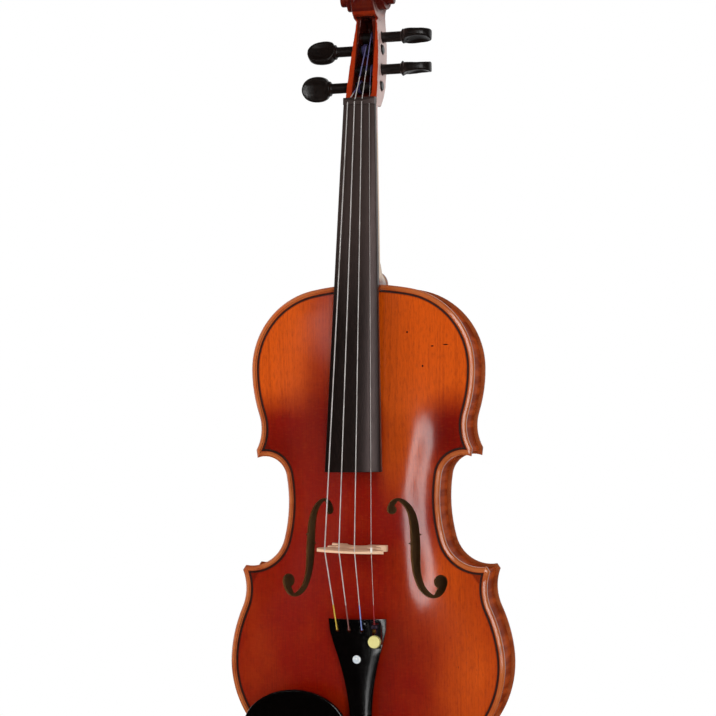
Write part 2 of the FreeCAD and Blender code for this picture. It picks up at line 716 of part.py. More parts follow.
def bridge_point(name):
    """Where the string crosses the bridge, set by its height over the board's end."""
    share = size.board_length / size.string_length
    x = string_x(name, size.bridge_string_span)
    over = mix(string_x(name, size.nut_string_span), x, share)
    start = -nut_point(name).y
    end = board_top(over, BOARD_END) + action(name) + string_radius(name)
    return at(x, BRIDGE_PLACE, start + (end - start) / share)


# Neck with pegbox and scroll

def half_round(half, depth, place, fullness=2.0):
    """Ring with a straight side and a bulging one, put in space by a function."""
    steps = 8
    points = []
    for step in range(steps + 1):
        angle = math.pi * step / steps
        side = math.copysign(abs(math.cos(angle)) ** (2 / fullness), math.cos(angle))
        points.append(place(half * side, depth * abs(math.sin(angle)) ** (2 / fullness)))
    return eased(points, ROUND_STEPS)


def neck_section(s):
    level = glue_level(s)
    depth = size.neck_depth + size.neck_depth_growth * (1 + s / size.neck_length)
    return half_round(board_half_width(s), depth, lambda x, d: at(x, s, level - d), 2.3)


def heel():
    """Heel of the neck, sweeping from the neck's back to the button."""
    root = -size.rib_height
    wires = []
    for share in (0, 0.3, 0.55, 0.75, 0.9, 0.98):
        level = mix(root, size.heel_top_level, share)
        reach = size.heel_length + size.heel_reach * (1 - math.sqrt(1 - share ** 2))
        half = mix(size.button_radius, board_half_width(0),
                   (level - root) / (size.overstand - root))
        wires.append(half_round(half, reach, lambda x, d, h=level: at(x, -d, h)))
    body = skin(wires)
    lift = Part.Face(closed(wires[-1])).extrude(FRONT * (size.neck_depth_growth * 4))
    return [body, lift]


def box_place(share):
    return -size.neck_length - share * size.box_length


def box_half_width(s):
    """Outer half-width of the pegbox at place s."""
    return follow(BOX_SHARES, (-size.neck_length - s) / size.box_length) * size.box_length


def box_section(station):
    share, half, front, back = station
    s = box_place(share)
    half *= size.box_length
    front *= size.box_length
    back *= size.box_length
    edge = size.box_edge
    side = [(half, front), (half, back + edge), (half - edge, back), (half / 2, back + size.flute)]
    return ([at(x, s, h) for x, h in side] + [at(0, s, back)]
            + [at(-x, s, h) for x, h in reversed(side)])


def cavity_section(station):
    share, half, floor = station
    s = box_place(share)
    half *= size.box_length
    floor *= size.box_length
    return [at(half, s, size.box_edge), at(half, s, floor), at(-half, s, floor),
            at(-half, s, size.box_edge)]


def volute_radius(turn):
    return size.volute_radius * VOLUTE_SHRINK ** turn


def volute_section(turn):
    """Section of the volute across its path: dished sides, bevels and two flutes."""
    angle = 2 * math.pi * turn
    outer = volute_radius(turn)
    inner = volute_radius(turn + 1) - size.volute_lap
    if turn > 0:
        half = mix(size.volute_half_width, size.eye_half_width, (turn / VOLUTE_TURNS) ** 0.8)
    else:
        half = size.volute_half_width * (1 + 1.35 * turn ** 2)
    bevel = size.volute_bevel * (outer / size.volute_radius) ** 0.7
    flute = size.volute_flute * (outer / size.volute_radius)
    side = [(half - size.volute_dish, inner), (half, outer - bevel), (half - bevel, outer),
            (half / 2, outer - flute)]
    border = side + [(0, outer)] + [(-x, r) for x, r in reversed(side)]
    return [at(x, size.eye_place - r * math.cos(angle), size.eye_level + r * math.sin(angle))
            for x, r in border]


def volute():
    span = (VOLUTE_TURNS - VOLUTE_START) / VOLUTE_PARTS
    solids = []
    for part in range(VOLUTE_PARTS):
        start = VOLUTE_START + part * span
        wires = [volute_section(start + span * step / VOLUTE_STEPS)
                 for step in range(VOLUTE_STEPS + 1)]
        solids.append(skin(wires))
    eye = rod(at(-size.eye_half_width, size.eye_place, size.eye_level),
              at(size.eye_half_width, size.eye_place, size.eye_level), size.eye_radius)
    return solids + [eye]


def peg_axis(name):
    """Place and level of a peg's axis."""
    return (PEG_PLACE_SHARES[name] * size.box_length - size.neck_length,
            PEG_LEVEL_SHARES[name] * size.box_length)


PEG_TAPER = 1 / 60
PEG_FACES = 16


def peg_hole(name):
    """Tapered hole for a peg through both walls, with room to turn."""
    ends = size.collar_length
    place, level = peg_axis(name)
    half = box_half_width(place)
    side = PEG_SIDES[name]
    flat = math.cos(math.pi / PEG_FACES)
    thin = (size.peg_radius - PEG_TAPER * (2 * half + ends) + size.peg_gap) / flat
    thick = (size.peg_radius + PEG_TAPER * ends + size.peg_gap) / flat
    hole = turned([(-half - ends, thin), (half + ends, thick)], ACROSS * side, PEG_FACES)
    hole.translate(at(0, place, level))
    return hole


def neck_and_scroll():
    stations = (-size.neck_length - size.nut_length, 0)
    shaft = skin([neck_section(s) for s in stations])
    box = skin([box_section(station) for station in BOX_SHARES])
    cavity = skin([cavity_section(station) for station in CAVITY_SHARES])
    solid = shaft.fuse(heel() + [box] + volute())
    cuts = [cavity] + [peg_hole(name) for name in STRINGS]
    below = block(-size.eye_half_width, size.eye_half_width, -size.heel_reach * 2,
                  size.heel_reach, -size.rib_height * 2, -size.rib_height)
    inside = block(-size.eye_half_width, size.eye_half_width, 0, size.heel_reach,
                   -size.rib_height * 2, size.overstand * 2)
    return solid.cut(cuts + [below, inside]).fuse(ROOT).removeSplitter()


# Fingerboard and nut

def fingerboard():
    """Board with a round playing surface, hollowed underneath past the neck."""
    start = -size.neck_length
    plan = closed([at(-size.nut_half_width, start, glue_level(start)),
                   at(size.nut_half_width, start, glue_level(start)),
                   at(size.board_end_half_width, BOARD_END, glue_level(BOARD_END)),
                   at(-size.board_end_half_width, BOARD_END, glue_level(BOARD_END))])
    board = Part.Face(plan).extrude(FRONT * (size.board_side * 3))
    ends = [at(0, s, board_top(0, s) - size.board_crown_radius) for s in (start, BOARD_END)]
    along = ends[1] - ends[0]
    crown = rod(ends[0] - along * 0.1, ends[1] + along * 0.1, size.board_crown_radius)
    sag = (size.board_end_half_width ** 2 + size.board_hollow ** 2) / (2 * size.board_hollow)
    low = [at(0, s, glue_level(s) + size.board_hollow - sag)
           for s in (size.heel_length, BOARD_END + size.nut_length)]
    return board.common(crown).cut(rod(low[0], low[1], sag))


def nut():
    """Grooved rest at the pegbox end of the board, sloping down to the pegbox."""
    front = -size.neck_length
    back = front - size.nut_length
    half = size.nut_half_width
    low = glue_level(back)
    body = block(-half, half, back, front, low, low + size.board_side * 3)
    top = board_top(0, front) + size.nut_rise - size.board_crown_radius
    crown = rod(at(0, back, top), at(0, front, top), size.board_crown_radius)
    slope = closed([at(-half, back, low), at(-half, front, glue_level(front)),
                    at(-half, front, low + size.board_side * 3),
                    at(-half, front - size.nut_length / 2, top + size.board_crown_radius),
                    at(-half, back, top + size.board_crown_radius - size.nut_length / 2)])
    return body.common(crown).common(Part.Face(slope).extrude(ACROSS * (half * 2)))


# Pegs with their windings

def peg_head():
    """Dished thumb piece of a peg, along the treble side from the wall outwards."""
    length = size.peg_reach - size.head_start
    spots = [at(size.head_start + share * length, half * size.head_half_width, 0)
             for share, half in HEAD_SHARES]
    rings = []
    for step, spot in enumerate(eased(spots, HEAD_STEPS)):
        half = max(-spot.z, size.head_half_thickness / 3)
        share = step / (HEAD_STEPS - 1)
        base, waist, tip = HEAD_RIM_SHARES
        bend = mix(base, waist, share * 2) if share < 0.5 else mix(waist, tip, share * 2 - 1)
        rim = size.head_half_thickness * bend
        dish = rim - size.head_dish_depth * math.sin(math.pi * min(share * 1.15, 1))
        side = [(half, 0), (half * 0.96, rim * 0.6), (half * 0.8, rim * 0.9), (half * 0.4, dish)]
        upper = side + [(0, dish * 0.96)] + [(-s, h) for s, h in reversed(side)]
        lower = [(-s, -h) for s, h in upper[1:-1]]
        rings.append([at(spot.x, s, h) for s, h in upper + lower])
    return skin(rings)


def peg(name):
    place, level = peg_axis(name)
    side = PEG_SIDES[name]
    half = box_half_width(place)
    thin = size.peg_radius - PEG_TAPER * (2 * half + size.peg_tip)
    start = half + size.collar_start
    end = start + size.collar_length
    bevel = size.collar_length / 3
    shaft = turned([(-half - size.peg_tip, thin), (half, size.peg_radius),
                    (start, size.peg_radius), (start + bevel, size.collar_radius),
                    (end - bevel, size.collar_radius), (end, size.peg_radius * THROAT_SHARE),
                    (half + size.head_start + size.collar_length,
                     size.peg_radius * THROAT_SHARE)], ACROSS, PEG_FACES)
    head = peg_head()
    head.rotate(FreeCAD.Vector(), ACROSS, PEG_TURNS[name])
    head.translate(ACROSS * half)
    band = rod(ACROSS * (start + bevel), ACROSS * (end - bevel),
               size.collar_radius + size.collar_band)
    solid = join([shaft, head, band])
    if side < 0:
        solid = mirrored(solid)
    solid.translate(at(0, place, level))
    return solid


def biarc(start, start_way, end, end_way):
    """Two arcs that join two points and keep both directions."""
    span = end - start
    ways = start_way + end_way
    bend = 2 * (1 - start_way.dot(end_way))
    cross = span.dot(ways)
    reach = (math.sqrt(cross ** 2 + bend * span.dot(span)) - cross) / bend
    joint = (start + end + (start_way - end_way) * reach) / 2
    edges = []
    for first, peak, last in ((start, start + start_way * reach, joint),
                              (joint, end - end_way * reach, end)):
        middle = (first + last) / 2
        half = (last - first).Length / 2
        alpha = math.acos(min(half / reach, 1))
        nearest = middle + (peak - middle).normalize() * (half * math.tan(alpha / 2))
        edges.append(Part.Arc(first, nearest, last).toShape())
    return edges


def wrap_radius(name):
    """Radius at which a string's middle lies on its peg."""
    return size.peg_radius + string_radius(name) + size.nut_groove_gap


def wrap_pitch(name):
    return 2 * string_radius(name) + size.winding_gap


def wrap_start(name):
    """Place on the peg where the string first touches it, with the angle there."""
    place, level = peg_axis(name)
    radius = wrap_radius(name)
    nut = nut_point(name)
    run = -nut.z - place
    rise = -nut.y - level
    angle = math.atan2(rise, run) + math.acos(radius / math.hypot(run, rise))
    x = (WINDING_X_SHARES[name] * size.nut_half_width
         - PEG_SIDES[name] * wrap_pitch(name) * WINDING_TURNS / 2)
    return x, angle


def wrap_point(name, angle):
    place, level = peg_axis(name)
    radius = wrap_radius(name)
    x, first = wrap_start(name)
    x += PEG_SIDES[name] * wrap_pitch(name) * (angle - first) / (2 * math.pi)
    point = at(x, place + radius * math.cos(angle), level + radius * math.sin(angle))
    way = at(PEG_SIDES[name] * wrap_pitch(name) / (2 * math.pi), -radius * math.sin(angle),
             radius * math.cos(angle))
    return point, way.normalize()


def winding(name):
    """The string's turns on its peg, as one unbroken tube."""
    first = wrap_start(name)[1]
    stations = [wrap_point(name, first + 2 * math.pi * step / 4)
                for step in range(4 * WINDING_TURNS + 1)]
    edges = []
    for (start, start_way), (end, end_way) in zip(stations, stations[1:]):
        edges += biarc(start, start_way, end, end_way)
    section = closed(around(*stations[0], string_radius(name), CORD_SIDES - 2))
    return Part.Wire(edges).makePipeShell([section], True, False)


def winding_gap_found(name):
    """Least gap of a winding to its own next turn, measured on points along it."""
    first = wrap_start(name)[1]
    steps = 48
    points = [wrap_point(name, first + 2 * math.pi * k / steps)[0]
              for k in range(steps * WINDING_TURNS + 1)]
    least = min((a - b).Length for i, a in enumerate(points)
                for b in points[i + steps // 2:])
    return least - 2 * string_radius(name)


# Bridge

def bridge():
    """Carved bridge, feet fitted to the top, crown fitted under the strings."""
    base = outer_level(size.top_rise)(size.bridge_foot_span * 0.37, BRIDGE_PLACE)
    points = {name: bridge_point(name) for name in STRINGS}
    crown = [-points[name].y - string_radius(name) + size.bridge_bed for name in STRINGS]
    top = (crown[1] + crown[2]) / 2
    rise = top - base
    span = size.bridge_foot_span

    def place(share, side=1):
        return at(side * share[0] * span, 0, base + share[1] * rise)

    right = eased([place(share) for share in BRIDGE_OUTER_SHARES], BRIDGE_STEPS)
    left = [at(-point.x, 0, -point.y) for point in right]
    arch = [place(share, -1) for share in reversed(BRIDGE_ARCH_SHARES)]
    arch += [place(share) for share in BRIDGE_ARCH_SHARES[1:]]
    arch = eased(arch, BRIDGE_STEPS)
    sink = base - size.bridge_foot_sink
    edges = [edge for run in (right, left, arch) for edge in Part.makePolygon(run).Edges]
    for side in (1, -1):
        outer = place(BRIDGE_OUTER_SHARES[0], side)
        inner = place(BRIDGE_ARCH_SHARES[-1], side)
        low = [at(outer.x, 0, sink), at(inner.x, 0, sink)]
        for start, end in ((outer, low[0]), (low[0], low[1]), (low[1], inner)):
            edges.append(Part.LineSegment(start, end).toShape())
    seats = [at(points[name].x, 0, level) for name, level in zip(STRINGS, crown)]
    circle = Part.Circle(seats[0], seats[1], seats[3])
    peak = []
    for x in (left[-1].x, 0, right[-1].x):
        over = math.sqrt(circle.Radius ** 2 - (x - circle.Center.x) ** 2)
        peak.append(at(x, 0, over - circle.Center.y))
    edges.append(Part.LineSegment(left[-1], peak[0]).toShape())
    edges.append(Part.LineSegment(right[-1], peak[2]).toShape())
    edges.append(Part.Arc(*peak).toShape())
    blank = Part.Face(Part.Wire(Part.__sortEdges__(edges)))
    back = BRIDGE_PLACE + size.bridge_base / 2
    front = BRIDGE_PLACE - size.bridge_base / 2
    blank.translate(at(0, front, 0))
    solid = blank.extrude(DOWN * size.bridge_base)
    slope = closed([at(-span, front, sink), at(-span, back, sink), at(-span, back, top * 2),
                    at(-span, back - size.bridge_top_thickness, top),
                    at(-span, front, base + size.bridge_base)])
    solid = solid.common(Part.Face(slope).extrude(ACROSS * (span * 2)))
    cuts = []
    heart = place(BRIDGE_HEART_SHARE)
    kidney = place(BRIDGE_KIDNEY_SHARE)
    for x, h, share in ((0, heart, BRIDGE_HEART_SHARE), (kidney.x, kidney, BRIDGE_KIDNEY_SHARE),
                        (-kidney.x, kidney, BRIDGE_KIDNEY_SHARE)):
        cuts.append(rod(at(x, front, -h.y), at(x, back, -h.y), share[2] * rise))
    slot = BRIDGE_HEART_SHARE[2] * rise / 3
    cuts.append(block(-slot, slot, front, back, -heart.y - slot * 5, -heart.y))
    for side in (1, -1):
        edge = sorted((side * kidney.x, side * span))
        cuts.append(block(edge[0], edge[1], front, back, -kidney.y - slot * 0.8,
                          -kidney.y + slot * 0.8))
    return solid.cut(cuts)


# Tailpiece and its fittings

TAIL_LINE = [(point.x, point.y) for point in
             eased([FreeCAD.Vector(*pair, 0) for pair in TAIL_SHARES], TAIL_STEPS * 4)]


def tail_half(s):
    """Half-width of the tailpiece at place s."""
    return follow(TAIL_LINE, (s - size.tail_front) / size.tail_length) * size.tail_front_half_width


def tail_sizes(s):
    """Underside, side height and rise of the tailpiece at place s."""
    share = (s - size.tail_front) / size.tail_length
    level = mix(size.tail_front_level, size.tail_end_level, share)
    return level, size.tail_side, size.tail_rise * mix(1, 0.6, share)


def tail_top(x, s):
    """Upper surface of the tailpiece."""
    level, side, rise = tail_sizes(s)
    half = tail_half(s)
    radius = (half ** 2 + rise ** 2) / (2 * rise)
    return level + side + rise - radius + math.sqrt(radius ** 2 - x ** 2)


def tail_section(s, shrink=0, lift=0):
    level, side, rise = tail_sizes(s)
    half = tail_half(s) - shrink
    low = level - shrink * 2
    high = level + side - shrink + lift
    crown = Part.Arc(at(half, s, high), at(0, s, high + rise), at(-half, s, high))
    return [at(-half, s, low), at(half, s, low)] + crown.toShape().discretize(
        Number=TAIL_STEPS)


def tail_places(start, end):
    return [mix(start, end, step / TAIL_STEPS) for step in range(TAIL_STEPS + 1)]


TAIL_FRET = size.fret_place


def tailpiece():
    first = size.tail_front
    body = skin([tail_section(s) for s in tail_places(first, first + size.tail_length)])
    hollow = skin([tail_section(s, size.tail_wall)
                   for s in tail_places(first + size.tail_wall, size.gut_start)])
    cuts = [hollow]
    low = size.tail_end_level
    high = size.tail_front_level * 2
    for name in STRINGS[:3]:
        x = string_x(name, size.tail_string_span)
        cuts.append(rod(at(x, size.hole_place, low), at(x, size.hole_place, high),
                        size.hole_radius))
        cuts.append(block(x - size.slot_half_width, x + size.slot_half_width, TAIL_FRET,
                          size.hole_place, low, high))
    x = size.tuner_x
    side = size.lever_half_width + size.tuner_plate + size.lever_gap
    cuts.append(block(x - side, x + side, size.lever_pivot_place - size.lever_gap,
                      size.screw_place + size.boss_radius, low, high))
    seat = size.tuner_half_width + size.lever_gap
    cuts.append(block(x - seat, x + seat, size.tuner_front - size.lever_gap,
                      size.tuner_front + size.tuner_length + size.lever_gap,
                      tuner_level() + size.tuner_lift - size.seat_gap, high))
    cuts.append(rod(at(0, size.pearl_place, tail_top(0, size.pearl_place) - size.pearl_depth),
                    at(0, size.pearl_place, high), size.pearl_radius))
    for way in (1, -1):
        cuts.append(rod(at(way * size.gut_x, size.gut_start, gut_level(size.gut_start)),
                        at(way * size.gut_x, size.body_length, gut_level(size.body_length)),
                        size.gut_radius + size.nut_groove_gap))
    return body.cut(cuts)


def gut_level(s):
    return tail_sizes(s)[0] + size.tail_side / 4


def tail_fret():
    """Raised strip near the front of the tailpiece, on which the strings rest."""
    first = TAIL_FRET - size.fret_width / 2
    last = TAIL_FRET + size.fret_width / 2
    outer = skin([tail_section(s, 0, size.fret_rise) for s in (first, last)])
    inner = skin([tail_section(s) for s in (first, last)])
    wide = size.tail_front_half_width
    left = string_x("g", size.tail_string_span) - size.fret_width * 1.5
    right = string_x("a", size.tail_string_span) + size.fret_width * 1.5
    span = block(left, right, first - wide, last + wide, size.tail_end_level,
                 size.tail_front_level * 2)
    return outer.common(span).cut(inner)


def pearl_eye():
    top = tail_top(0, size.pearl_place)
    return rod(at(0, size.pearl_place, top - size.pearl_depth), at(0, size.pearl_place, top),
               size.pearl_radius)


def tailgut():
    """Cord from the tailpiece over the saddle and round the end button."""
    groove = (size.button_groove_start + size.button_groove_end) / 2
    loop = size.button_groove_radius + size.gut_radius + size.nut_groove_gap
    over = size.saddle_level + size.gut_radius + size.nut_groove_gap
    drop = size.body_length + size.edge_bevel + size.gut_radius + size.nut_groove_gap
    points = [at(-size.gut_x, size.gut_start, gut_level(size.gut_start)),
              at(-size.gut_x, size.body_length - size.saddle_length, gut_level(
                  size.body_length - size.saddle_length)),
              at(-size.gut_x, drop, over), at(-loop, groove, size.button_level / 2),
              at(-loop, groove, size.button_level - loop)]
    points += [at(-point.x, -point.z, -point.y) for point in reversed(points)]
    return tube(points, size.gut_radius, size.gut_bend)


def gut_nuts():
    """Two threaded nuts that hold the ends of the tailgut."""
    nuts = []
    for way in (1, -1):
        start = at(way * size.gut_x, size.gut_start - size.gut_nut_length, gut_level(
            size.gut_start - size.gut_nut_length))
        end = at(way * size.gut_x, size.gut_start, gut_level(size.gut_start))
        nuts.append(rod(start, end, size.gut_nut_radius))
    return Part.Compound(nuts)


def saddle():
    body = block(-size.saddle_half_width, size.saddle_half_width,
                 size.body_length - size.saddle_length, size.body_length + size.edge_bevel,
                 0, size.saddle_level)
    tops = [edge for edge in body.Edges
            if edge.BoundBox.YMax < -size.saddle_level + size.edge_bevel]
    return body.makeFillet(size.saddle_round, tops)


def button_stem():
    return rod(at(0, size.button_stem_start, size.button_level),
               at(0, size.button_groove_start, size.button_level), size.button_stem_radius)


def end_button():
    """Stem in the lower block, collar against the ribs, groove for the gut, round head."""
    collar_start = size.body_length - size.edge_overhang
    bevel = size.button_bevel
    head = size.button_head_radius
    body = turned([(size.button_stem_start, size.button_stem_radius),
                   (collar_start, size.button_stem_radius),
                   (collar_start, size.button_collar_radius),
                   (size.button_groove_start, size.button_collar_radius),
                   (size.button_groove_start, size.button_groove_radius),
                   (size.button_groove_end, size.button_groove_radius),
                   (size.button_groove_end + bevel, head), (size.button_end - bevel, head),
                   (size.button_end, head - bevel)], DOWN, BUTTON_FACES)
    body.translate(at(0, 0, size.button_level))
    return body


# Fine tuner

TUNER_TOP_PLACE = size.tuner_front + size.tuner_length / 2


def tuner_level():
    return tail_top(size.tuner_x, TUNER_TOP_PLACE)


def tuner_slope():
    rise = tail_top(size.tuner_x, size.tuner_front) - tuner_level()
    return math.degrees(math.atan2(rise, size.tuner_length / 2))


def tuner_body():
    """Plate on the tailpiece with a threaded boss and two lugs for the pivot."""
    x = size.tuner_x
    level = tuner_level()
    half = size.tuner_half_width
    front = size.tuner_front
    end = front + size.tuner_length
    body = block(x - half, x + half, front, end, level + size.tuner_lift,
                 level + size.tuner_lift + size.tuner_plate)
    top = level + size.tuner_lift + size.tuner_plate
    side = x + size.screw_side
    boss = rod(at(side, size.screw_place, level + size.tuner_lift),
               at(side, size.screw_place, top + size.boss_height),
               size.boss_radius - size.tuner_plate / 2)
    inner = size.lever_half_width + size.lever_gap
    slot = block(x - inner, x + inner, size.lever_pivot_place - size.lever_gap,
                 size.screw_place - size.boss_radius, level - size.claw_reach * 2, top * 2)
    shapes = [body, boss]
    for way in (1, -1):
        sides = sorted((x + way * inner, x + way * (inner + size.tuner_plate / 2)))
        shapes.append(block(sides[0], sides[1], size.lever_pivot_place,
                            size.lever_pivot_place + size.lever_thickness * 2,
                            level - size.lever_thickness * 1.6, level + size.tuner_lift))
    bore = rod(at(side, size.screw_place, 0), at(side, size.screw_place, top * 2),
               size.screw_radius + size.lever_gap / 2)
    pin = pivot_pin()
    return join(shapes).cut([slot, bore, pin])


def pivot_pin():
    x = size.tuner_x
    level = tuner_level() - size.lever_thickness
    reach = size.lever_half_width + size.lever_gap + size.tuner_plate / 2
    place = size.lever_pivot_place + size.lever_thickness
    return rod(at(x - reach, place, level), at(x + reach, place, level), size.pivot_radius)


def tuner_nut():
    x = size.tuner_x + size.screw_side
    low = tuner_level() + size.tuner_lift + size.tuner_plate
    ring = rod(at(x, size.screw_place, low), at(x, size.screw_place, low + size.tuner_nut_height),
               size.tuner_nut_radius)
    return ring.cut(rod(at(x, size.screw_place, 0), at(x, size.screw_place, low * 2),
                        size.boss_radius - size.tuner_plate / 2))


def lever():
    """Bent lever: its claw holds the string's ball, its long arm lies under the screw."""
    x = size.tuner_x
    level = tuner_level()
    pivot = size.lever_pivot_place + size.lever_thickness
    thick = size.lever_thickness
    end = size.screw_place + thick
    profile = ((pivot - thick / 2, level + size.claw_reach),
               (pivot + thick / 2, level + size.claw_reach),
               (pivot + thick * 0.8, level - thick / 2), (end, level - thick * 2.4),
               (end, level - thick * 2.9), (pivot, level - thick * 1.9),
               (pivot - thick * 0.8, level - thick))
    half = size.lever_half_width
    face = Part.Face(closed([at(x - half, s, h) for s, h in profile]))
    body = face.extrude(ACROSS * (half * 2))
    slot = size.e_radius + size.lever_gap / 2
    cuts = [block(x - slot, x + slot, pivot - thick * 2, pivot + thick * 2,
                  level + size.claw_reach / 2, level + size.claw_reach * 2),
            rod(at(x - half * 2, pivot, level - thick), at(x + half * 2, pivot, level - thick),
                size.pivot_radius + size.lever_gap / 2)]
    return body.cut(cuts)


def lever_string_level():
    return tuner_level() + size.claw_reach * 0.72


def e_ball():
    place = size.lever_pivot_place + size.lever_thickness * 1.75 + size.ball_radius
    return ball_at(size.tuner_x, place, lever_string_level())


def tuner_screw():
    x = size.tuner_x + size.screw_side
    top = (tuner_level() + size.tuner_lift + size.tuner_plate + size.boss_height
           + size.lever_gap + size.screw_travel)
    tip = tuner_level() - size.lever_thickness * 1.6
    bevel = size.screw_head_height / 5
    head = size.screw_head_radius
    end = top + size.screw_head_height
    screw = turned([(tip, size.screw_radius), (top, size.screw_radius), (top, head - bevel),
                    (top + bevel, head), (end - bevel, head), (end, head - bevel)],
                   FRONT, BUTTON_FACES)
    screw.translate(at(x, size.screw_place, 0))
    return screw


# Strings

def string_end(name):
    """Last points of a string, at the tailpiece or at the fine tuner's claw."""
    x = string_x(name, size.tail_string_span)
    radius = string_radius(name)
    if name == "e":
        claw = size.lever_pivot_place + size.lever_thickness / 2 - size.lever_gap
        return [at(x, claw, lever_string_level())]
    rest = tail_top(x, TAIL_FRET) + size.fret_rise + radius
    hole = tail_top(x, size.hole_place)
    return [at(x, TAIL_FRET, rest), at(x, size.hole_place, hole + radius),
            at(x, size.hole_place, hole - size.tail_wall)]


def string_start(name):
    """Point where the straight string stops short of the turning windings."""
    point = wrap_point(name, wrap_start(name)[1])[0]
    nut = nut_point(name)
    radius = wrap_radius(name)
    clear = radius + 2 * string_radius(name) + size.stop_short
    short = math.sqrt(clear ** 2 - radius ** 2)
    way = (nut - point).normalize()
    return point + way * short


def string(name):
    points = [string_start(name), nut_point(name), bridge_point(name)] + string_end(name)
    return tube(points, string_radius(name), size.string_bend)


def groove(name):
    """A little more than the string's room, to cut its seat."""
    points = [string_start(name), nut_point(name), bridge_point(name)] + string_end(name)[:2]
    return tube(points, string_radius(name) + size.nut_groove_gap, size.string_bend)


def ball_at(x, s, h):
    """Small round end of a string, lying across it."""
    reach = size.ball_reach
    return rod(at(x - reach, s, h), at(x + reach, s, h), size.ball_radius)


def string_balls():
    balls = []
    for name in STRINGS[:3]:
        x = string_x(name, size.tail_string_span)
        level = (tail_top(x, size.hole_place) - size.tail_wall - size.ball_radius
                 - size.ball_gap)
        balls.append(ball_at(x, size.hole_place, level))
    return Part.Compound(balls)


def string_sleeve():
    """Small tube that keeps the E string out of the bridge."""
    middle = bridge_point("e")
    way = (nut_point("e") - middle).normalize()
    start = middle + way * (size.sleeve_length / 2)
    end = middle - way * (size.sleeve_length / 2) + at(0, 0, -size.e_radius * 3)
    return rod(start, end, size.sleeve_radius)


# Chinrest and clamp

def rest_ring(share, level):
    """Oval ring of the cup at one level."""
    points = []
    for step in range(REST_STEPS):
        angle = 2 * math.pi * step / REST_STEPS
        points.append(at(size.rest_x + share * size.rest_half_length * math.cos(angle),
                         size.rest_place + share * size.rest_half_width * math.sin(angle),
                         mix(size.rest_low, size.rest_high, level)))
    return points


def rest_cup():
    """Dished oval cup."""
    outer = skin([rest_ring(*shares) for shares in REST_OUTER_SHARES])
    inner = skin([rest_ring(*shares) for shares in REST_INNER_SHARES])
    return outer.cut(inner)


def edge_band(inner, outer, x0, x1, low, high):
    """Piece of a strip that follows the lower edge of the body."""
    wide = prism(OUTLINE.makeOffset2D(outer), low, high)
    strip = wide.cut(prism(inset(inner), low, high))
    return strip.common(block(x0, x1, size.lower_width_place, size.body_length * 1.2, low, high))


def rod_place(x):
    """Place of a clamp rod standing clear of the edge."""
    radius = size.lower_end_radius + size.rod_standoff
    return size.body_length - size.lower_end_radius + math.sqrt(radius ** 2 - x ** 2)


ROD_XS = (size.rod_x, size.rod_x - size.rod_spacing)
SHOE = (size.shoe_x - size.shoe_half_length, size.shoe_x + size.shoe_half_length)
FOOT = (size.rod_x - size.rod_spacing / 2 - size.foot_half_length,
        size.rod_x - size.rod_spacing / 2 + size.foot_half_length)
OUTREACH = size.rod_standoff + size.rod_radius * 2


def chinrest():
    shoe = edge_band(size.shoe_inset, OUTREACH, *SHOE,
                     size.edge_thickness + size.cork_thickness, size.rest_low * 1.1)
    return rest_cup().fuse(shoe).cut([rod(at(x, rod_place(x), 0),
                                          at(x, rod_place(x), size.rod_top), size.rod_radius)
                                      for x in ROD_XS]).removeSplitter()


def chinrest_cork():
    pad = edge_band(size.shoe_inset, 0, *SHOE, size.channel_level / 2,
                    size.edge_thickness + size.cork_thickness)
    return pad.cut(TOP)


def clamp_rods():
    return Part.Compound([rod(at(x, rod_place(x), size.barrel_top - size.rod_lap),
                              at(x, rod_place(x), size.rod_top), size.rod_radius)
                          for x in ROD_XS])


def barrel(x):
    top = at(x, rod_place(x), size.barrel_top)
    end = at(x, rod_place(x), size.barrel_top - size.barrel_length)
    middle = (top + end) / 2
    key = DOWN * (size.barrel_radius * 2)
    return rod(end, top, size.barrel_radius).cut(
        [rod(end, top, size.rod_radius + size.barrel_gap),
         rod(middle - key, middle + key, size.barrel_hole)])


def clamp_foot():
    back = -size.rib_height - size.edge_thickness - size.foot_gap
    plate_top = back - size.cork_thickness
    foot = edge_band(size.foot_inset, OUTREACH, *FOOT, plate_top - size.foot_thickness, plate_top)
    rods = [rod(at(x, rod_place(x), plate_top - size.foot_thickness),
                at(x, rod_place(x), size.barrel_top - size.barrel_length + size.rod_lap),
                size.rod_radius) for x in ROD_XS]
    return foot.fuse(rods).removeSplitter()


def foot_cork():
    back = -size.rib_height - size.edge_thickness - size.foot_gap
    return edge_band(size.foot_inset, 0, *FOOT, back - size.cork_thickness, back)


# All sub-parts

GROOVES = [groove(name) for name in STRINGS]
SADDLE_ROOM = block(-size.saddle_half_width, size.saddle_half_width,
                    size.body_length - size.saddle_length, size.body_length * 1.1,
                    -size.edge_bevel / 100, size.saddle_level)
top_holes = f_hole()
keep("top_plate", TOP.cut([top_holes, mirrored(top_holes), ROOT, SADDLE_ROOM,
                           purfling_ring(size.purfling_floor, size.edge_thickness)]))
keep("back_plate", turned_to_back(BACK.cut(purfling_ring(size.purfling_floor,
                                                         size.edge_thickness))))
strip = purfling_ring(size.purfling_floor, size.purfling_level)
keep("top_purfling", strip.cut([ROOT, SADDLE_ROOM]))
keep("back_purfling", turned_to_back(strip))

wall_ring = prism(RIB_OUT, -size.rib_height, 0).cut(INSIDE)
for region_name, region in rib_regions().items():
    piece = wall_ring.common(prism(polygon(region), -size.rib_height, 0))
    piece = piece.cut([ROOT, button_stem()])
    keep(region_name + "_rib_treble", piece)
    keep(region_name + "_rib_bass", mirrored(piece))

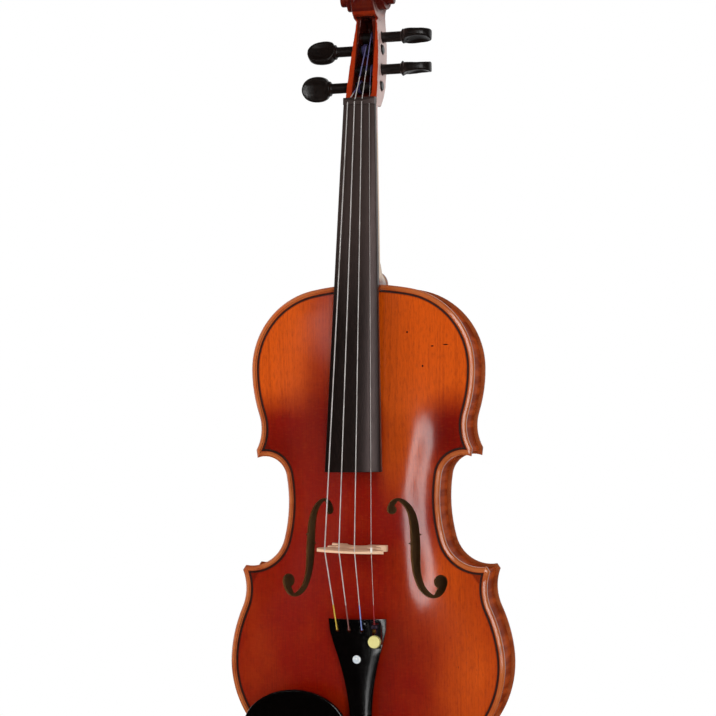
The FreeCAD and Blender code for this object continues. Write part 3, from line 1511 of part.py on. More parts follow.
corners = []
for high, low in (((size.upper_corner_x, size.upper_corner_place),
                   (size.upper_corner_low_x, size.upper_corner_low_place)),
                  ((size.lower_corner_high_x, size.lower_corner_high_place),
                   (size.lower_corner_x, size.lower_corner_place))):
    corner = INSIDE.common(corner_block(high, low))
    corners += [corner, mirrored(corner)]
upper_block = INSIDE.common(block(-size.upper_block_half_width, size.upper_block_half_width,
                                  0, size.upper_block_end, -size.rib_height, 0)).cut(ROOT)
lower_block = INSIDE.common(block(-size.lower_block_half_width, size.lower_block_half_width,
                                  size.lower_block_start, size.body_length,
                                  -size.rib_height, 0)).cut(button_stem())
keep("upper_block", upper_block)
keep("lower_block", lower_block)
keep("corner_blocks", Part.Compound(corners))

band = prism(RIB_IN, -size.lining_height, 0).cut(prism(LINING_IN, -size.lining_height, 0))
keep("top_linings", band.cut(corners + [upper_block, lower_block, ROOT]))
band.translate(at(0, 0, size.lining_height - size.rib_height))
keep("back_linings", band.cut(corners + [upper_block, lower_block, ROOT]))

middle = (size.bar_start + size.bar_end) / 2
bar_low = hollow_level(size.top_rise)(size.bar_x, middle) - size.bar_depth
bar_side = size.bar_x - size.bar_thickness / 2
bar_face = Part.Face(Part.Wire([
    Part.Arc(at(bar_side, size.bar_start, 0), at(bar_side, middle, bar_low),
             at(bar_side, size.bar_end, 0)).toShape(),
    Part.LineSegment(at(bar_side, size.bar_end, 0),
                     at(bar_side, size.bar_end, size.top_rise * 2)).toShape(),
    Part.LineSegment(at(bar_side, size.bar_end, size.top_rise * 2),
                     at(bar_side, size.bar_start, size.top_rise * 2)).toShape(),
    Part.LineSegment(at(bar_side, size.bar_start, size.top_rise * 2),
                     at(bar_side, size.bar_start, 0)).toShape()]))
keep("bass_bar", bar_face.extrude(ACROSS * size.bar_thickness).common(TOP_HOLLOW))
post = rod(at(size.post_x, size.post_place, -size.rib_height * 2),
           at(size.post_x, size.post_place, size.rib_height), size.post_radius)
keep("sound_post", post.common(TOP_HOLLOW).common(BACK_HOLLOW))

NECK = neck_and_scroll()
keep("neck_scroll", NECK)
keep("fingerboard", fingerboard())
keep("nut", nut().cut(GROOVES))
for name in STRINGS:
    keep("peg_" + name, peg(name))
    keep("winding_" + name, winding(name))
    keep("string_" + name, string(name))
    print("winding", name, "least gap to itself", round(winding_gap_found(name), 3))

sleeve = string_sleeve()
keep("bridge", bridge().cut([TOP, sleeve] + GROOVES))
keep("string_sleeve", sleeve.cut(GROOVES[3]))
keep("tailpiece", tailpiece().cut(gut_nuts()))
keep("tail_fret", tail_fret().cut(GROOVES))
keep("pearl_eye", pearl_eye())
keep("string_balls", string_balls())
keep("tuner_body", tuner_body())
keep("tuner_pivot", pivot_pin())
keep("tuner_nut", tuner_nut())
keep("tuner_lever", lever())
keep("tuner_screw", tuner_screw())
keep("tuner_ball", e_ball())
keep("tailgut", tailgut())
keep("tailgut_nuts", gut_nuts())
keep("saddle", saddle())
keep("end_button", end_button())
keep("chinrest", chinrest())
keep("chinrest_cork", chinrest_cork())
keep("clamp_rods", clamp_rods())
keep("clamp_barrel_one", barrel(ROD_XS[0]))
keep("clamp_barrel_two", barrel(ROD_XS[1]))
keep("clamp_foot", clamp_foot())
keep("clamp_foot_cork", foot_cork())

doc.recompute()
os.makedirs("parts", exist_ok=True)
for item in parts:
    if "Invalid" in item.State or "Error" in item.State:
        raise RuntimeError(item.Label + " did not recompute")
    if item.Shape.isNull() or not item.Shape.isValid():
        print("bad shape", item.Label)
    item.Shape.exportStep("parts/" + item.Label + ".step")
    print(item.Label, len(item.Shape.Solids), "solids", round(item.Shape.Volume, 1))
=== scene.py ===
"""Looks of a full-size violin: varnished body, black fittings, strings and studio."""

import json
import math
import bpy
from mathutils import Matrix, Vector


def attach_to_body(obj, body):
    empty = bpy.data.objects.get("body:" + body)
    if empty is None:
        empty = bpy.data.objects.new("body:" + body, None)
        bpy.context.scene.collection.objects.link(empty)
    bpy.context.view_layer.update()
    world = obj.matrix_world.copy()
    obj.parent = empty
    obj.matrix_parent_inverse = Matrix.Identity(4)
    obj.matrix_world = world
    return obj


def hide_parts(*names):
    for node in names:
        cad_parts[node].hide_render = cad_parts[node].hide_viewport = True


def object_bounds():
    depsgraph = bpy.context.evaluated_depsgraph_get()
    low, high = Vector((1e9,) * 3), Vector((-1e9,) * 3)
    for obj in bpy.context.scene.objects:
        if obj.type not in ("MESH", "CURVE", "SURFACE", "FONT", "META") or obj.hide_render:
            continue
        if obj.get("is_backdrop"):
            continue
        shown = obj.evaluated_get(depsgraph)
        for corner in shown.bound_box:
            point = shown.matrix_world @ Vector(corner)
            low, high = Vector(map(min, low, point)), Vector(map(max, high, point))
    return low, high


bl_info = {
    "name": "Violin looks",
    "version": (1, 0, 0),
    "blender": (4, 5, 0),
    "location": "View3D > Sidebar > Violin",
    "description": "Dresses the violin's frame with varnish, grain, strings and fittings",
    "category": "Object",
}

import bpy
from mathutils import Matrix, Vector
from mathutils.kdtree import KDTree

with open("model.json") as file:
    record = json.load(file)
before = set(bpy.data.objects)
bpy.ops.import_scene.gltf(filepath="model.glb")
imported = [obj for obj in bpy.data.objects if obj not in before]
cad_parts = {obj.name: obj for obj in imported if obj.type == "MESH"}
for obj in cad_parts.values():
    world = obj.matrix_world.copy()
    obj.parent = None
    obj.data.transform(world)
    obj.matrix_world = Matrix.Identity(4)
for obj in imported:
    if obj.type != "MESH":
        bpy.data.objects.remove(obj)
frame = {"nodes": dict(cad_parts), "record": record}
nodes = frame["nodes"]
body_of_node = {
    name: body
    for body, names in frame["record"]["behaviour"]["bodies"].items()
    for name in names
}

MM = 0.001
STRINGS = ("g", "d", "a", "e")

# Places and sizes in millimetres. Down is from the body's upper edge, front from the glue line.
GLUE_DEPTH = -17.4
NECK_HOLD = -122.0
BACK_GLUE = -31.0
HEAD_PLACE = -134.0
SCROLL_PLACE = -205.0
BRIDGE_LEVEL = -314.0
SCREW_HEAD = (15.9, 258.2, 35.5)
EDGE_ROUND = 1.1
LEDGE = 3.4
WALL_MARGIN = 0.12
PEG_RADIUS = 4.0
TURN_GAP = 0.04
MERGE_DISTANCE = 0.002

# Points on one turn round a peg, and the share of the way from nut to peg without silk.
TURN_STEPS = 28
HEAD_SILK = 0.45

# Angles in degrees.
BRIDGE_TURN = 2.2
BEVEL_LIMIT = 40
PLATE_CRISP = 26
CRISP = 34

# Patches of the top: middle and half width in x, middle and half height downwards, strength.
# Orange patches: partly thinner varnish, partly painted light on the treble side of the top.
ORANGE_THIN_AND_LIT_PATCHES = ((82, 30, 286, 66, 0.8), (56, 24, 214, 26, 0.6), (-84, 20, 262, 50, 0.15))
# Dark patches: painted shade on the flanks that turn away from the light.
PAINTED_SHADE_PATCHES = ((-30, 18, 96, 34, 0.6), (62, 15, 112, 18, 0.9), (-62, 18, 122, 18, 0.7))

# Dark marks on the top: x, down, half width and half height.
MARKS = (
    (35.6, 36.0, 0.9, 0.9),
    (54.1, 46.5, 1.3, 0.6),
    (63.9, 45.6, 2.4, 0.5),
    (47.1, 60.9, 0.8, 0.9),
    (101.2, 266.0, 0.8, 4.5),
)

# Reliefs of the varnish, in millimetres.
FULLER_WAIST = 2.8
ROUND_BEAD = 1.0
BEAD_WIDTH = 2.6

CAMERA_PLACE = (0.4199, -1.4784, -0.2133)
CAMERA_FORWARD = (-0.2783, 0.9602, 0.0245)
CAMERA_RIGHT = (0.9603, 0.2786, -0.0137)
LAMPS_AIM = (0, 0, -0.2)

# Softboxes: azimuth and elevation, distance, width and height, whether gloss shows them.
LAMPS = (
    ("key", (26, 0), 1.6, (0.38, 2.0), True),
    ("fill", (-50, 12), 1.7, (0.9, 1.4), False),
    ("high", (-26, 16), 1.5, (0.4, 0.06), True),
)


def spot(x, down, front):
    """A place in metres from x to the treble side, down and front in millimetres."""
    return Vector((x, GLUE_DEPTH - front, NECK_HOLD - down)) * MM


def tone(red, green, blue):
    """A colour given in screen values, made linear."""
    parts = (value / 255 for value in (red, green, blue))
    return tuple(
        part / 12.92 if part <= 0.04045 else ((part + 0.055) / 1.055) ** 2.4 for part in parts
    )


def colour_property(name, description, default):
    return bpy.props.FloatVectorProperty(
        name=name, description=description, subtype="COLOR", size=3, min=0, max=1, default=default
    )


def length_property(name, description, default):
    return bpy.props.FloatProperty(
        name=name, description=description, default=default, min=0, unit="LENGTH"
    )


def share_property(name, description, default, high=1.0):
    return bpy.props.FloatProperty(
        name=name, description=description, default=default, min=0, max=high
    )


class ViolinVarnish(bpy.types.PropertyGroup):
    """Colours and gloss of the varnished wood."""

    deep: colour_property("Deep red", "Varnish in the middle of the top", tone(132, 16, 2))
    # This orange also stands in for painted light on the treble side of the top.
    warm: colour_property("Orange", "Varnish where it is thin", tone(207, 81, 9))
    edge: colour_property("Edge", "Worn rim of the plates", tone(190, 104, 56))
    # Painted shade, not dirt: this colour darkens the channel recess inside the rim.
    channel: colour_property("Channel", "Dirt in the channel inside the rim", tone(84, 16, 4))
    back: colour_property("Back", "Dark flames of the back and ribs", tone(104, 30, 10))
    flame: colour_property("Flame", "Light flames of the back and ribs", tone(150, 58, 20))
    bare: colour_property("Bare wood", "Unvarnished inside of the plates", tone(178, 136, 92))
    neck: colour_property("Neck", "Pale oiled wood where the hand goes", tone(232, 206, 178))
    roughness: share_property("Roughness", "Roughness under the gloss", 0.5)
    gloss: share_property("Gloss", "Strength of the varnish's shine", 1.0)
    coat_roughness: share_property("Shine roughness", "Roughness of that shine", 0.18)


class ViolinFittings(bpy.types.PropertyGroup):
    """Colours of the dark fittings, metal and small parts."""

    ebony: colour_property("Ebony", "Fingerboard and nut", tone(16, 11, 9))
    polished: colour_property("Polished ebony", "Tailpiece and chinrest", tone(3, 2, 2))
    bridge: colour_property("Bridge", "Bare maple of the bridge", tone(236, 192, 158))
    steel: colour_property("Steel", "Wound strings", tone(222, 216, 212))
    gold: colour_property("Pale brass", "Head of the fine tuner's screw", tone(235, 225, 150))
    pearl: colour_property("Pearl", "Eye of the tailpiece", tone(232, 232, 226))
    chrome: colour_property("Chrome", "Clamp of the chinrest", tone(214, 214, 218))
    cork: colour_property("Cork", "Pads under the chinrest", tone(176, 128, 84))
    # A darker copy of the head silk, used on the turns round the pegs: painted shade inside the
    # pegbox.
    silk_head: colour_property("Peg silk", "Silk on the strings in the pegbox", tone(62, 54, 104))
    silk_line: colour_property("Head silk", "Silk between nut and pegs", tone(116, 110, 158))
    silk_g: colour_property("G silk", "Silk at the tail of the lowest string", tone(226, 190, 70))
    silk_d: colour_property("D silk", "Silk at the tail of the second string", tone(150, 96, 90))
    silk_a: colour_property("A silk", "Silk at the tail of the third string", tone(140, 160, 225))
    silk_e: colour_property("E silk", "Silk at the tail of the thinnest string", tone(190, 62, 66))


class ViolinSizes(bpy.types.PropertyGroup):
    """Sizes of what is modelled here."""

    g_radius: length_property("G radius", "Radius of the lowest string", 0.42 * MM)
    d_radius: length_property("D radius", "Radius of the second string", 0.40 * MM)
    a_radius: length_property("A radius", "Radius of the third string", 0.35 * MM)
    e_radius: length_property("E radius", "Radius of the thinnest string", 0.16 * MM)
    silk_thickness: length_property("Silk", "How far the silk stands out", 0.08 * MM)
    silk_length: length_property("Silk length", "Silk in front of the tailpiece", 15 * MM)
    head_radius: length_property("Screw head", "Radius of the fine tuner's screw head", 4.3 * MM)
    head_depth: length_property("Head depth", "Height of that screw head", 2.2 * MM)
    turns: bpy.props.IntProperty(name="Turns", description="Turns on each peg", default=3, min=1)
    carving_grain: length_property("Carving", "Fineness of the carved neck's mesh", 0.7 * MM)
    floor_drop: length_property("Floor drop", "Floor below the hanging violin", 140 * MM)


class ViolinStudio(bpy.types.PropertyGroup):
    """Camera and light."""

    focal_length: bpy.props.FloatProperty(
        name="Focal length", description="Camera lens in millimetres", default=103.94, min=1
    )
    key_power: share_property("Key power", "Watts of the right softbox", 16.0, 500)
    fill_power: share_property("Fill power", "Watts of the left softbox", 12.0, 500)
    high_power: share_property("High power", "Watts of the softbox above the left", 0.3, 500)
    ambient: share_property("Ambient", "Light from all round", 0.30)


GROUPS = (ViolinVarnish, ViolinFittings, ViolinSizes, ViolinStudio)


class Reading:
    """A value inside a material that can be reckoned with like a number."""

    def __init__(self, finish, socket):
        self.finish = finish
        self.socket = socket

    def reckon(self, operation, *values):
        return self.finish.add("ShaderNodeMath", {"operation": operation}, dict(enumerate(values)))

    def __add__(self, other):
        return self.reckon("ADD", self, other)

    __radd__ = __add__

    def __sub__(self, other):
        return self.reckon("SUBTRACT", self, other)

    def __rsub__(self, other):
        return self.reckon("SUBTRACT", other, self)

    def __mul__(self, other):
        return self.reckon("MULTIPLY", self, other)

    __rmul__ = __mul__

    def __truediv__(self, other):
        return self.reckon("DIVIDE", self, other)

    def __pow__(self, other):
        return self.reckon("POWER", self, other)

    def __abs__(self):
        return self.reckon("ABSOLUTE", self)

    def under(self, other):
        return self.reckon("LESS_THAN", self, other)

    def over(self, other):
        return self.reckon("GREATER_THAN", self, other)

    def held(self):
        """Kept between 0 and 1."""
        return self.most(0).least(1)

    def least(self, other):
        return self.reckon("MINIMUM", self, other)

    def most(self, other):
        return self.reckon("MAXIMUM", self, other)

    def swell(self, centre, width):
        """1 at the centre, falling smoothly to nothing about two widths away."""
        away = (self - centre) / width
        return self.reckon("EXPONENT", away * away * -1)

    def rise(self, low, high):
        """0 below low, 1 above high, eased between."""
        return self.finish.add(
            "ShaderNodeMapRange",
            {"interpolation_type": "SMOOTHSTEP"},
            {"Value": self, "From Min": low, "From Max": high},
        )


class Finish:
    """The nodes of a new material, or of a world, under construction."""

    def __init__(self, name, world=None):
        self.owner = world or bpy.data.materials.new(name)
        self.owner.use_nodes = True
        self.tree = self.owner.node_tree
        self.tree.nodes.clear()
        self.output = self.tree.nodes.new("ShaderNodeOutput" + ("World" if world else "Material"))
        self.axes = {}

    def add(self, kind, settings=None, sockets=None, out=0):
        """Adds a node: its settings first, then the values or links of its sockets."""
        node = self.tree.nodes.new(kind)
        for key, value in (settings or {}).items():
            setattr(node, key, value)
        for key, value in (sockets or {}).items():
            self.feed(node.inputs[key], value)
        return Reading(self, node.outputs[out])

    def feed(self, socket, value):
        if isinstance(value, Reading):
            self.tree.links.new(value.socket, socket)
        elif isinstance(socket.default_value, float) or isinstance(value, (int, float)):
            socket.default_value = value
        else:
            whole = tuple(value)
            socket.default_value = whole + (1,) * (len(socket.default_value) - len(whole))

    def place(self):
        """x, down and front in millimetres at each point of the piece."""
        if not self.axes:
            own_place = self.add("ShaderNodeTexCoord", out=3)
            parts = [
                self.add("ShaderNodeSeparateXYZ", None, {0: own_place}, out=axis)
                for axis in range(3)
            ]
            self.axes["x"] = parts[0] / MM
            self.axes["front"] = parts[1] / -MM + GLUE_DEPTH
            self.axes["down"] = parts[2] / -MM + NECK_HOLD
        return self.axes["x"], self.axes["down"], self.axes["front"]

    def facing(self, axis):
        """How far the surface faces along one axis, from -1 to 1."""
        normal = self.add("ShaderNodeNewGeometry", out=1)
        return self.add("ShaderNodeSeparateXYZ", None, {0: normal}, out=axis)

    def noise(self, x, down, front, detail=2.0, roughness=0.5):
        """Smooth random value from 0 to 1 at places already scaled."""
        vector = self.add("ShaderNodeCombineXYZ", None, {0: x, 1: down, 2: front})
        return self.add(
            "ShaderNodeTexNoise",
            None,
            {"Vector": vector, "Scale": 1.0, "Detail": detail, "Roughness": roughness},
        )

    def mix(self, first, second, share):
        """A colour between two, by a share."""
        return self.add(
            "ShaderNodeMix",
            {"data_type": "RGBA"},
            {0: share, 6: first, 7: second},
            out=2,
        )

    def ripple(self, value, length):
        """Even ripple of a given length in millimetres."""
        phase = value * (2 * math.pi / length)
        return phase.reckon("SINE", phase)

    def rim(self):
        """How far a point of a plate is from its outer edge, in millimetres."""
        return self.add("ShaderNodeAttribute", {"attribute_name": "rim"}, out=2)

    def bump(self, height, depth, strength=1.0, under=None):
        """Relief from a height, its depth in millimetres, on top of another if one is given."""
        sockets = {"Height": height, "Distance": depth * MM, "Strength": strength}
        if under:
            sockets["Normal"] = under
        return self.add("ShaderNodeBump", None, sockets)

    def done(self, **sockets):
        """Joins a Principled shader to the output; socket names use _ for a space."""
        shader = self.tree.nodes.new("ShaderNodeBsdfPrincipled")
        for key, value in sockets.items():
            self.feed(shader.inputs[key.replace("_", " ")], value)
        return self.join(shader.outputs[0])

    def join(self, shader):
        """Joins a shader's socket to the output."""
        self.tree.links.new(shader, self.output.inputs[0])
        return self.owner


materials = {}


def kept(maker):
    """Makes each material once."""

    def once(*words):
        key = (maker.__name__, *words)
        if key not in materials:
            materials[key] = maker(*words)
        return materials[key]

    return once


def varnish():
    return bpy.context.scene.violin_varnish


def fittings():
    return bpy.context.scene.violin_fittings


def sizes():
    return bpy.context.scene.violin_sizes


def patches(x, down, rows):
    """Soft patches added up, from rows of places, half sizes and strengths."""
    return sum(
        x.swell(middle, wide) * down.swell(level, tall) * strength
        for middle, wide, level, tall, strength in rows
    )


@kept
def spruce_varnish():
    """Red varnish over the top's spruce with fine upright grain: orange where thin and, on the
    treble side, as painted light; darker patches and the channel are painted shade.
    """
    own = varnish()
    finish = Finish("top_varnish")
    x, down, front = finish.place()
    side = abs(x)
    # Share of orange: thinner varnish in the upper bouts, plus painted light on the treble side
    # and painted shade (less orange) beside the board on the bass side.
    upper = down.rise(-8, 14) * (1 - down.rise(66, 104)) * (1 - x.swell(-26, 16) * 0.7)
    treble = (1 - x.rise(34, 66)) * x.rise(12, 24) * (1 - down.rise(120, 176)) * 0.85
    cloud = finish.noise(x * 0.03, down * 0.022, 0.0, 3.0) - 0.5
    warm = (upper + treble + patches(x, down, ORANGE_THIN_AND_LIT_PATCHES) + cloud * 0.5).held()
    colour = finish.mix(tuple(own.deep), tuple(own.warm), warm)
    # Painted shade: deep red patches on the flanks that turn away from the light.
    colour = finish.mix(colour, tone(104, 8, 2), patches(x, down, PAINTED_SHADE_PATCHES).least(0.85))
    wobble = finish.noise(x * 0.01, down * 0.008, 4.0) * 9
    rings = finish.noise((side + wobble) * 0.85, down * 0.006, 2.0, 1.0)
    fine = finish.noise(x * 2.6, down * 0.10, 7.0, 2.0)
    fleck = finish.noise(x * 0.75, down * 0.16, 5.0, 3.0, 0.7)
    grain = rings.rise(0.42, 0.7) * 0.16 + fine.rise(0.45, 0.8) * 0.14
    grain = grain + fleck.rise(0.42, 0.8) * 0.36
    colour = finish.mix(colour, tone(84, 10, 3), grain.least(0.5))
    shimmer = finish.noise(x * 0.22, down * 0.7, 1.0, 2.0).rise(0.45, 0.8) * 0.05
    colour = finish.mix(colour, tone(226, 104, 20), shimmer)
    ticks = finish.noise(x * 1.6, down * 0.22, 11.0, 1.0).rise(0.72, 0.78)
    worn = x.swell(64, 26) * down.swell(268, 42)
    colour = finish.mix(colour, tone(40, 4, 2), ticks * worn)
    for middle, level, wide, tall in MARKS:
        mark = (x.swell(middle, wide) * down.swell(level, tall)).rise(0.3, 0.7)
        colour = finish.mix(colour, tone(34, 6, 3), mark)
    outward = finish.facing(1) * -1
    rim = finish.rim()
    bead = 1 - rim.rise(3.3, 3.9)
    channel = (1 - rim.rise(4.9, 6.6)) * (1 - bead)
    rubbed = finish.noise(x * 0.08, down * 0.08, 3.0, 3.0).rise(0.3, 0.6)
    # Painted shade darkening the channel recess inside the rim.
    colour = finish.mix(colour, tuple(own.channel), channel * 0.8)
    colour = finish.mix(colour, tuple(own.edge), bead * (rubbed * 0.4 + 0.5))
    wall = 1 - outward.rise(0.25, 0.5)
    in_hole = wall * rim.over(6.0)
    colour = finish.mix(colour, tone(120, 44, 18), wall * (1 - in_hole) * 0.8)
    colour = finish.mix(colour, tone(150, 104, 62), in_hole)
    inside = (1 - outward.rise(-0.5, -0.2)) * rim.over(LEDGE)
    colour = finish.mix(colour, tuple(own.bare), inside)
    full = x.swell((150 - down).most(0) * 0.1 + 34, 13)
    full = full * down.rise(80, 125) * (1 - down.rise(212, 252))
    slope = ((rim - 0.4) / BEAD_WIDTH).held()
    relief = finish.bump(full, FULLER_WAIST)
    relief = finish.bump(slope, ROUND_BEAD, 1.0, relief)
    relief = finish.bump(rings * 0.6 + fine * 0.4 + ticks * worn * 2, 0.06, 0.7, relief)
    return finish.done(
        Base_Color=colour,
        Roughness=fleck * 0.06 + (own.coat_roughness - 0.02) - bead * 0.1,
        Specular_IOR_Level=0.5 * own.gloss,
        Normal=relief,
    )


@kept
def maple_varnish(part):
    """Red-brown varnish over flamed maple; the flames cross the back and stand up the ribs."""
    own = varnish()
    finish = Finish(part + "_varnish")
    x, down, front = finish.place()
    if part == "rib":
        sway = finish.noise(x * 0.05, down * 0.05, front * 0.05) * 0.8
        bands = finish.noise(x * 0.16 + sway, down * 0.16, front * 0.012, 2.0)
    elif part == "neck":
        bands = finish.noise(x * 0.03, down * 0.2, front * 0.05, 2.0)
    else:
        slant = abs(x) * 0.22
        bands = finish.noise(abs(x) * 0.012, (down + slant) * 0.17, 3.0, 2.0)
    fine = finish.noise(x * 1.8, down * 0.12, front * 1.8, 3.0)
    flame = bands.rise(0.38, 0.66)
    colour = finish.mix(tuple(own.back), tuple(own.flame), flame * 0.85)
    colour = finish.mix(colour, tone(60, 14, 6), fine.rise(0.55, 0.8) * 0.35)
    cloud = finish.noise(x * 0.02, down * 0.015, 9.0, 3.0)
    colour = finish.mix(colour, tone(92, 14, 6), cloud.rise(0.45, 0.75) * 0.55)
    if part == "rib":
        colour = finish.mix(colour, tone(196, 84, 32), flame * 0.35 + 0.25)
    if part == "back":
        inward = finish.facing(1) * -1
        rubbed = finish.noise(x * 0.08, down * 0.08, 3.0, 3.0).rise(0.3, 0.6)
        edge = 1 - finish.rim().rise(3.0, 3.8)
        colour = finish.mix(colour, tuple(own.edge), edge * (rubbed * 0.3 + 0.2))
        inside = inward.rise(0.3, 0.6) * front.under(-30.0) * finish.rim().over(LEDGE)
        colour = finish.mix(colour, tuple(own.bare), inside)
    if part == "neck":
        hand = down.rise(-136, -124) * (1 - down.rise(-6, 0))
        colour = finish.mix(colour, tuple(own.neck), hand * 0.9)
        worn = finish.noise(x * 0.3, down * 0.25, front * 0.3, 3.0).rise(0.55, 0.75)
        head = down.under(HEAD_PLACE)
        colour = finish.mix(colour, tone(96, 12, 8), (worn * 0.4 + 0.45) * head)
        colour = finish.mix(colour, tone(52, 8, 8), head * down.under(SCROLL_PLACE) * 0.6)
        rims = finish.facing(1) * -1
        lip = rims.rise(0.5, 0.85) * head * down.over(SCROLL_PLACE)
        colour = finish.mix(colour, tone(172, 50, 14), lip * 0.75)
        # Painted reflection: pale pink on the outer treble cheek of the pegbox, where it catches
        # white light.
        cheek_painted_reflection = finish.facing(0).rise(0.5, 0.8) * down.rise(-214, -192) * down.under(-112)
        colour = finish.mix(colour, tone(236, 204, 196), cheek_painted_reflection * x.over(6.0) * 0.85)
        # Painted shade: near black inside the pegbox hollow.
        pegbox_painted_shade = (1 - (abs(x) / 7.6).rise(0.9, 1.0)) * down.under(-139.0) * down.over(-202.0)
        colour = finish.mix(colour, tone(26, 10, 8), pegbox_painted_shade * front.over(-52.0) * 0.85)
    relief = finish.bump(fine, 0.04, 0.5)
    return finish.done(
        Base_Color=colour,
        Roughness=own.roughness,
        Specular_IOR_Level=0.0,
        Coat_Weight=0.1 if part == "rib" else own.gloss * 0.7,
        Coat_Roughness=own.coat_roughness,
        Normal=relief,
    )


@kept
def bare_wood(part):
    """Plain unvarnished wood inside the body."""
    finish = Finish("bare_" + part)
    x, down, front = finish.place()
    grain = finish.noise(x * 1.2, down * 0.03, front * 1.2, 3.0).rise(0.4, 0.7)
    colour = finish.mix(tuple(varnish().bare), tone(140, 98, 60), grain * 0.6)
    return finish.done(Base_Color=colour, Roughness=0.75, Normal=finish.bump(grain, 0.05, 0.5))


@kept
def ebony(part):
    """Dark close-grained wood, satin on the board and glossy on the fittings."""
    own = fittings()
    finish = Finish("ebony_" + part)
    x, down, front = finish.place()
    streak = finish.noise(x * 1.6, down * 0.012, front * 1.6, 3.0)
    pores = finish.noise(x * 9.0, down * 0.5, front * 9.0, 1.0).rise(0.62, 0.72)
    glossy = part in ("polished", "tail")
    dark = tuple(own.polished if glossy else own.ebony)
    brown = tone(12, 8, 7) if glossy else tone(38, 25, 21)
    colour = finish.mix(dark, brown, streak.rise(0.4, 0.75) * 0.6)
    colour = finish.mix(colour, tone(60, 44, 38), pores * (0.1 if glossy else 0.35))
    if part == "board":
        # Lighter towards the nut: partly wear, partly painted sheen.
        colour = finish.mix(colour, tone(70, 58, 54), (1 - down.rise(-60, 40)) * 0.5)
    rough = {"polished": 0.14, "tail": 0.18, "board": 0.36, "peg": 0.34}[part]
    smear = finish.noise(x * 0.2, down * 0.12, front * 0.2, 3.0) * 0.16
    arch = None
    if part == "tail":
        half = ((318 - down).most(0) / 75) ** 1.8 * 13.6 + 8
        arch = finish.bump(x * x / (half * half) * 1.1 + down * 0.13, 1.0)
    return finish.done(
        Base_Color=colour,
        Roughness=smear + (rough - 0.08),
        Specular_Tint=(1.0, 0.76, 0.74, 1.0) if part == "board" else (1.0, 1.0, 1.0, 1.0),
        Coat_Weight=0.5 if glossy else 0.0,
        Coat_Roughness=0.06,
        Normal=finish.bump(streak * 0.5 + pores * -0.6, 0.04, 0.6, arch),
    )


@kept
def bridge_maple():
    """Pale maple with short dark flecks."""
    finish = Finish("bridge_maple")
    x, down, front = finish.place()
    fleck = finish.noise(x * 0.9, down * 3.0, front * 3.2, 2.0).rise(0.62, 0.74)
    band = finish.noise(x * 0.25, down * 0.3, front * 1.6, 2.0)
    colour = finish.mix(tuple(fittings().bridge), tone(212, 166, 124), band.rise(0.45, 0.7) * 0.25)
    colour = finish.mix(colour, tone(190, 136, 98), fleck * 0.25)
    return finish.done(Base_Color=colour, Roughness=0.55, Normal=finish.bump(fleck, 0.03, 0.4))


@kept
def purfling():
    """Two black strips with a pale one between, seen as a dark inlaid line."""
    finish = Finish("purfling")
    x, down, front = finish.place()
    mottle = finish.noise(x * 1.5, down * 1.5, front, 2.0)
    colour = finish.mix(tone(26, 12, 8), tone(60, 26, 14), mottle.rise(0.4, 0.7))
    return finish.done(Base_Color=colour, Roughness=0.4, Coat_Weight=0.6, Coat_Roughness=0.2)


@kept
def wound_string(name):
    """Flat-wound metal, or plain steel for the thinnest string."""
    finish = Finish("string_metal_" + name)
    x, down, front = finish.place()
    ribs = finish.ripple(down, 0.5) if name != "e" else finish.noise(x, down, front)
    tarnish = finish.noise(x * 0.5, down * 0.05, front * 0.5, 3.0).rise(0.4, 0.8)
    colour = finish.mix(tuple(fittings().steel), tone(140, 132, 128), tarnish * 0.6)
    return finish.done(
        Base_Color=colour,
        Metallic=0.35,
        Roughness=tarnish * 0.15 + 0.3,
        Normal=finish.bump(ribs, 0.04, 0.6),
    )


@kept
def silk(name):
    """Coloured thread wound over a string's end."""
    finish = Finish("silk_" + name)
    x, down, front = finish.place()
    thread = finish.ripple(down + x * 0.3, 0.45) * 0.5 + 0.5
    fluff = finish.noise(x * 3.0, down * 3.0, front * 3.0, 2.0)
    base = tuple(getattr(fittings(), "silk_" + name))
    colour = finish.mix(base, tuple(part * 0.45 for part in base), thread * 0.5 + fluff * 0.2)
    return finish.done(Base_Color=colour, Roughness=0.7, Normal=finish.bump(thread, 0.08, 0.7))


@kept
def metal(name):
    """Plated or painted small metal parts, with a little wear."""
    own = fittings()
    colours = {
        "gold": (tuple(own.gold), tone(214, 196, 104), 0.15, 0.3),
        "chrome": (tuple(own.chrome), tone(150, 150, 155), 1.0, 0.14),
        "brass": (tone(206, 168, 92), tone(140, 100, 46), 1.0, 0.3),
        "black": (tone(16, 15, 17), tone(44, 42, 44), 0.2, 0.28),
        # Lighter purple-grey copy of the black metal: a painted glint on the lever.
        "lever": (tone(70, 56, 70), tone(40, 34, 42), 0.5, 0.26),
    }
    first, second, metallic, rough = colours[name]
    finish = Finish("metal_" + name)
    x, down, front = finish.place()
    worn = finish.noise(x * 0.8, down * 0.8, front * 0.8, 4.0)
    colour = finish.mix(first, second, worn.rise(0.5, 0.75) * 0.5)
    return finish.done(
        Base_Color=colour,
        Metallic=metallic,
        Roughness=worn * 0.14 + (rough - 0.05),
        Normal=finish.bump(worn, 0.02, 0.3),
    )


@kept
def pearl():
    finish = Finish("pearl")
    x, down, front = finish.place()
    cloud = finish.noise(x * 0.7, down * 0.7, front * 0.7, 3.0)
    colour = finish.mix(tuple(fittings().pearl), tone(196, 206, 214), cloud.rise(0.4, 0.6))
    return finish.done(Base_Color=colour, Roughness=0.2, Coat_Weight=0.5, Coat_Roughness=0.05)


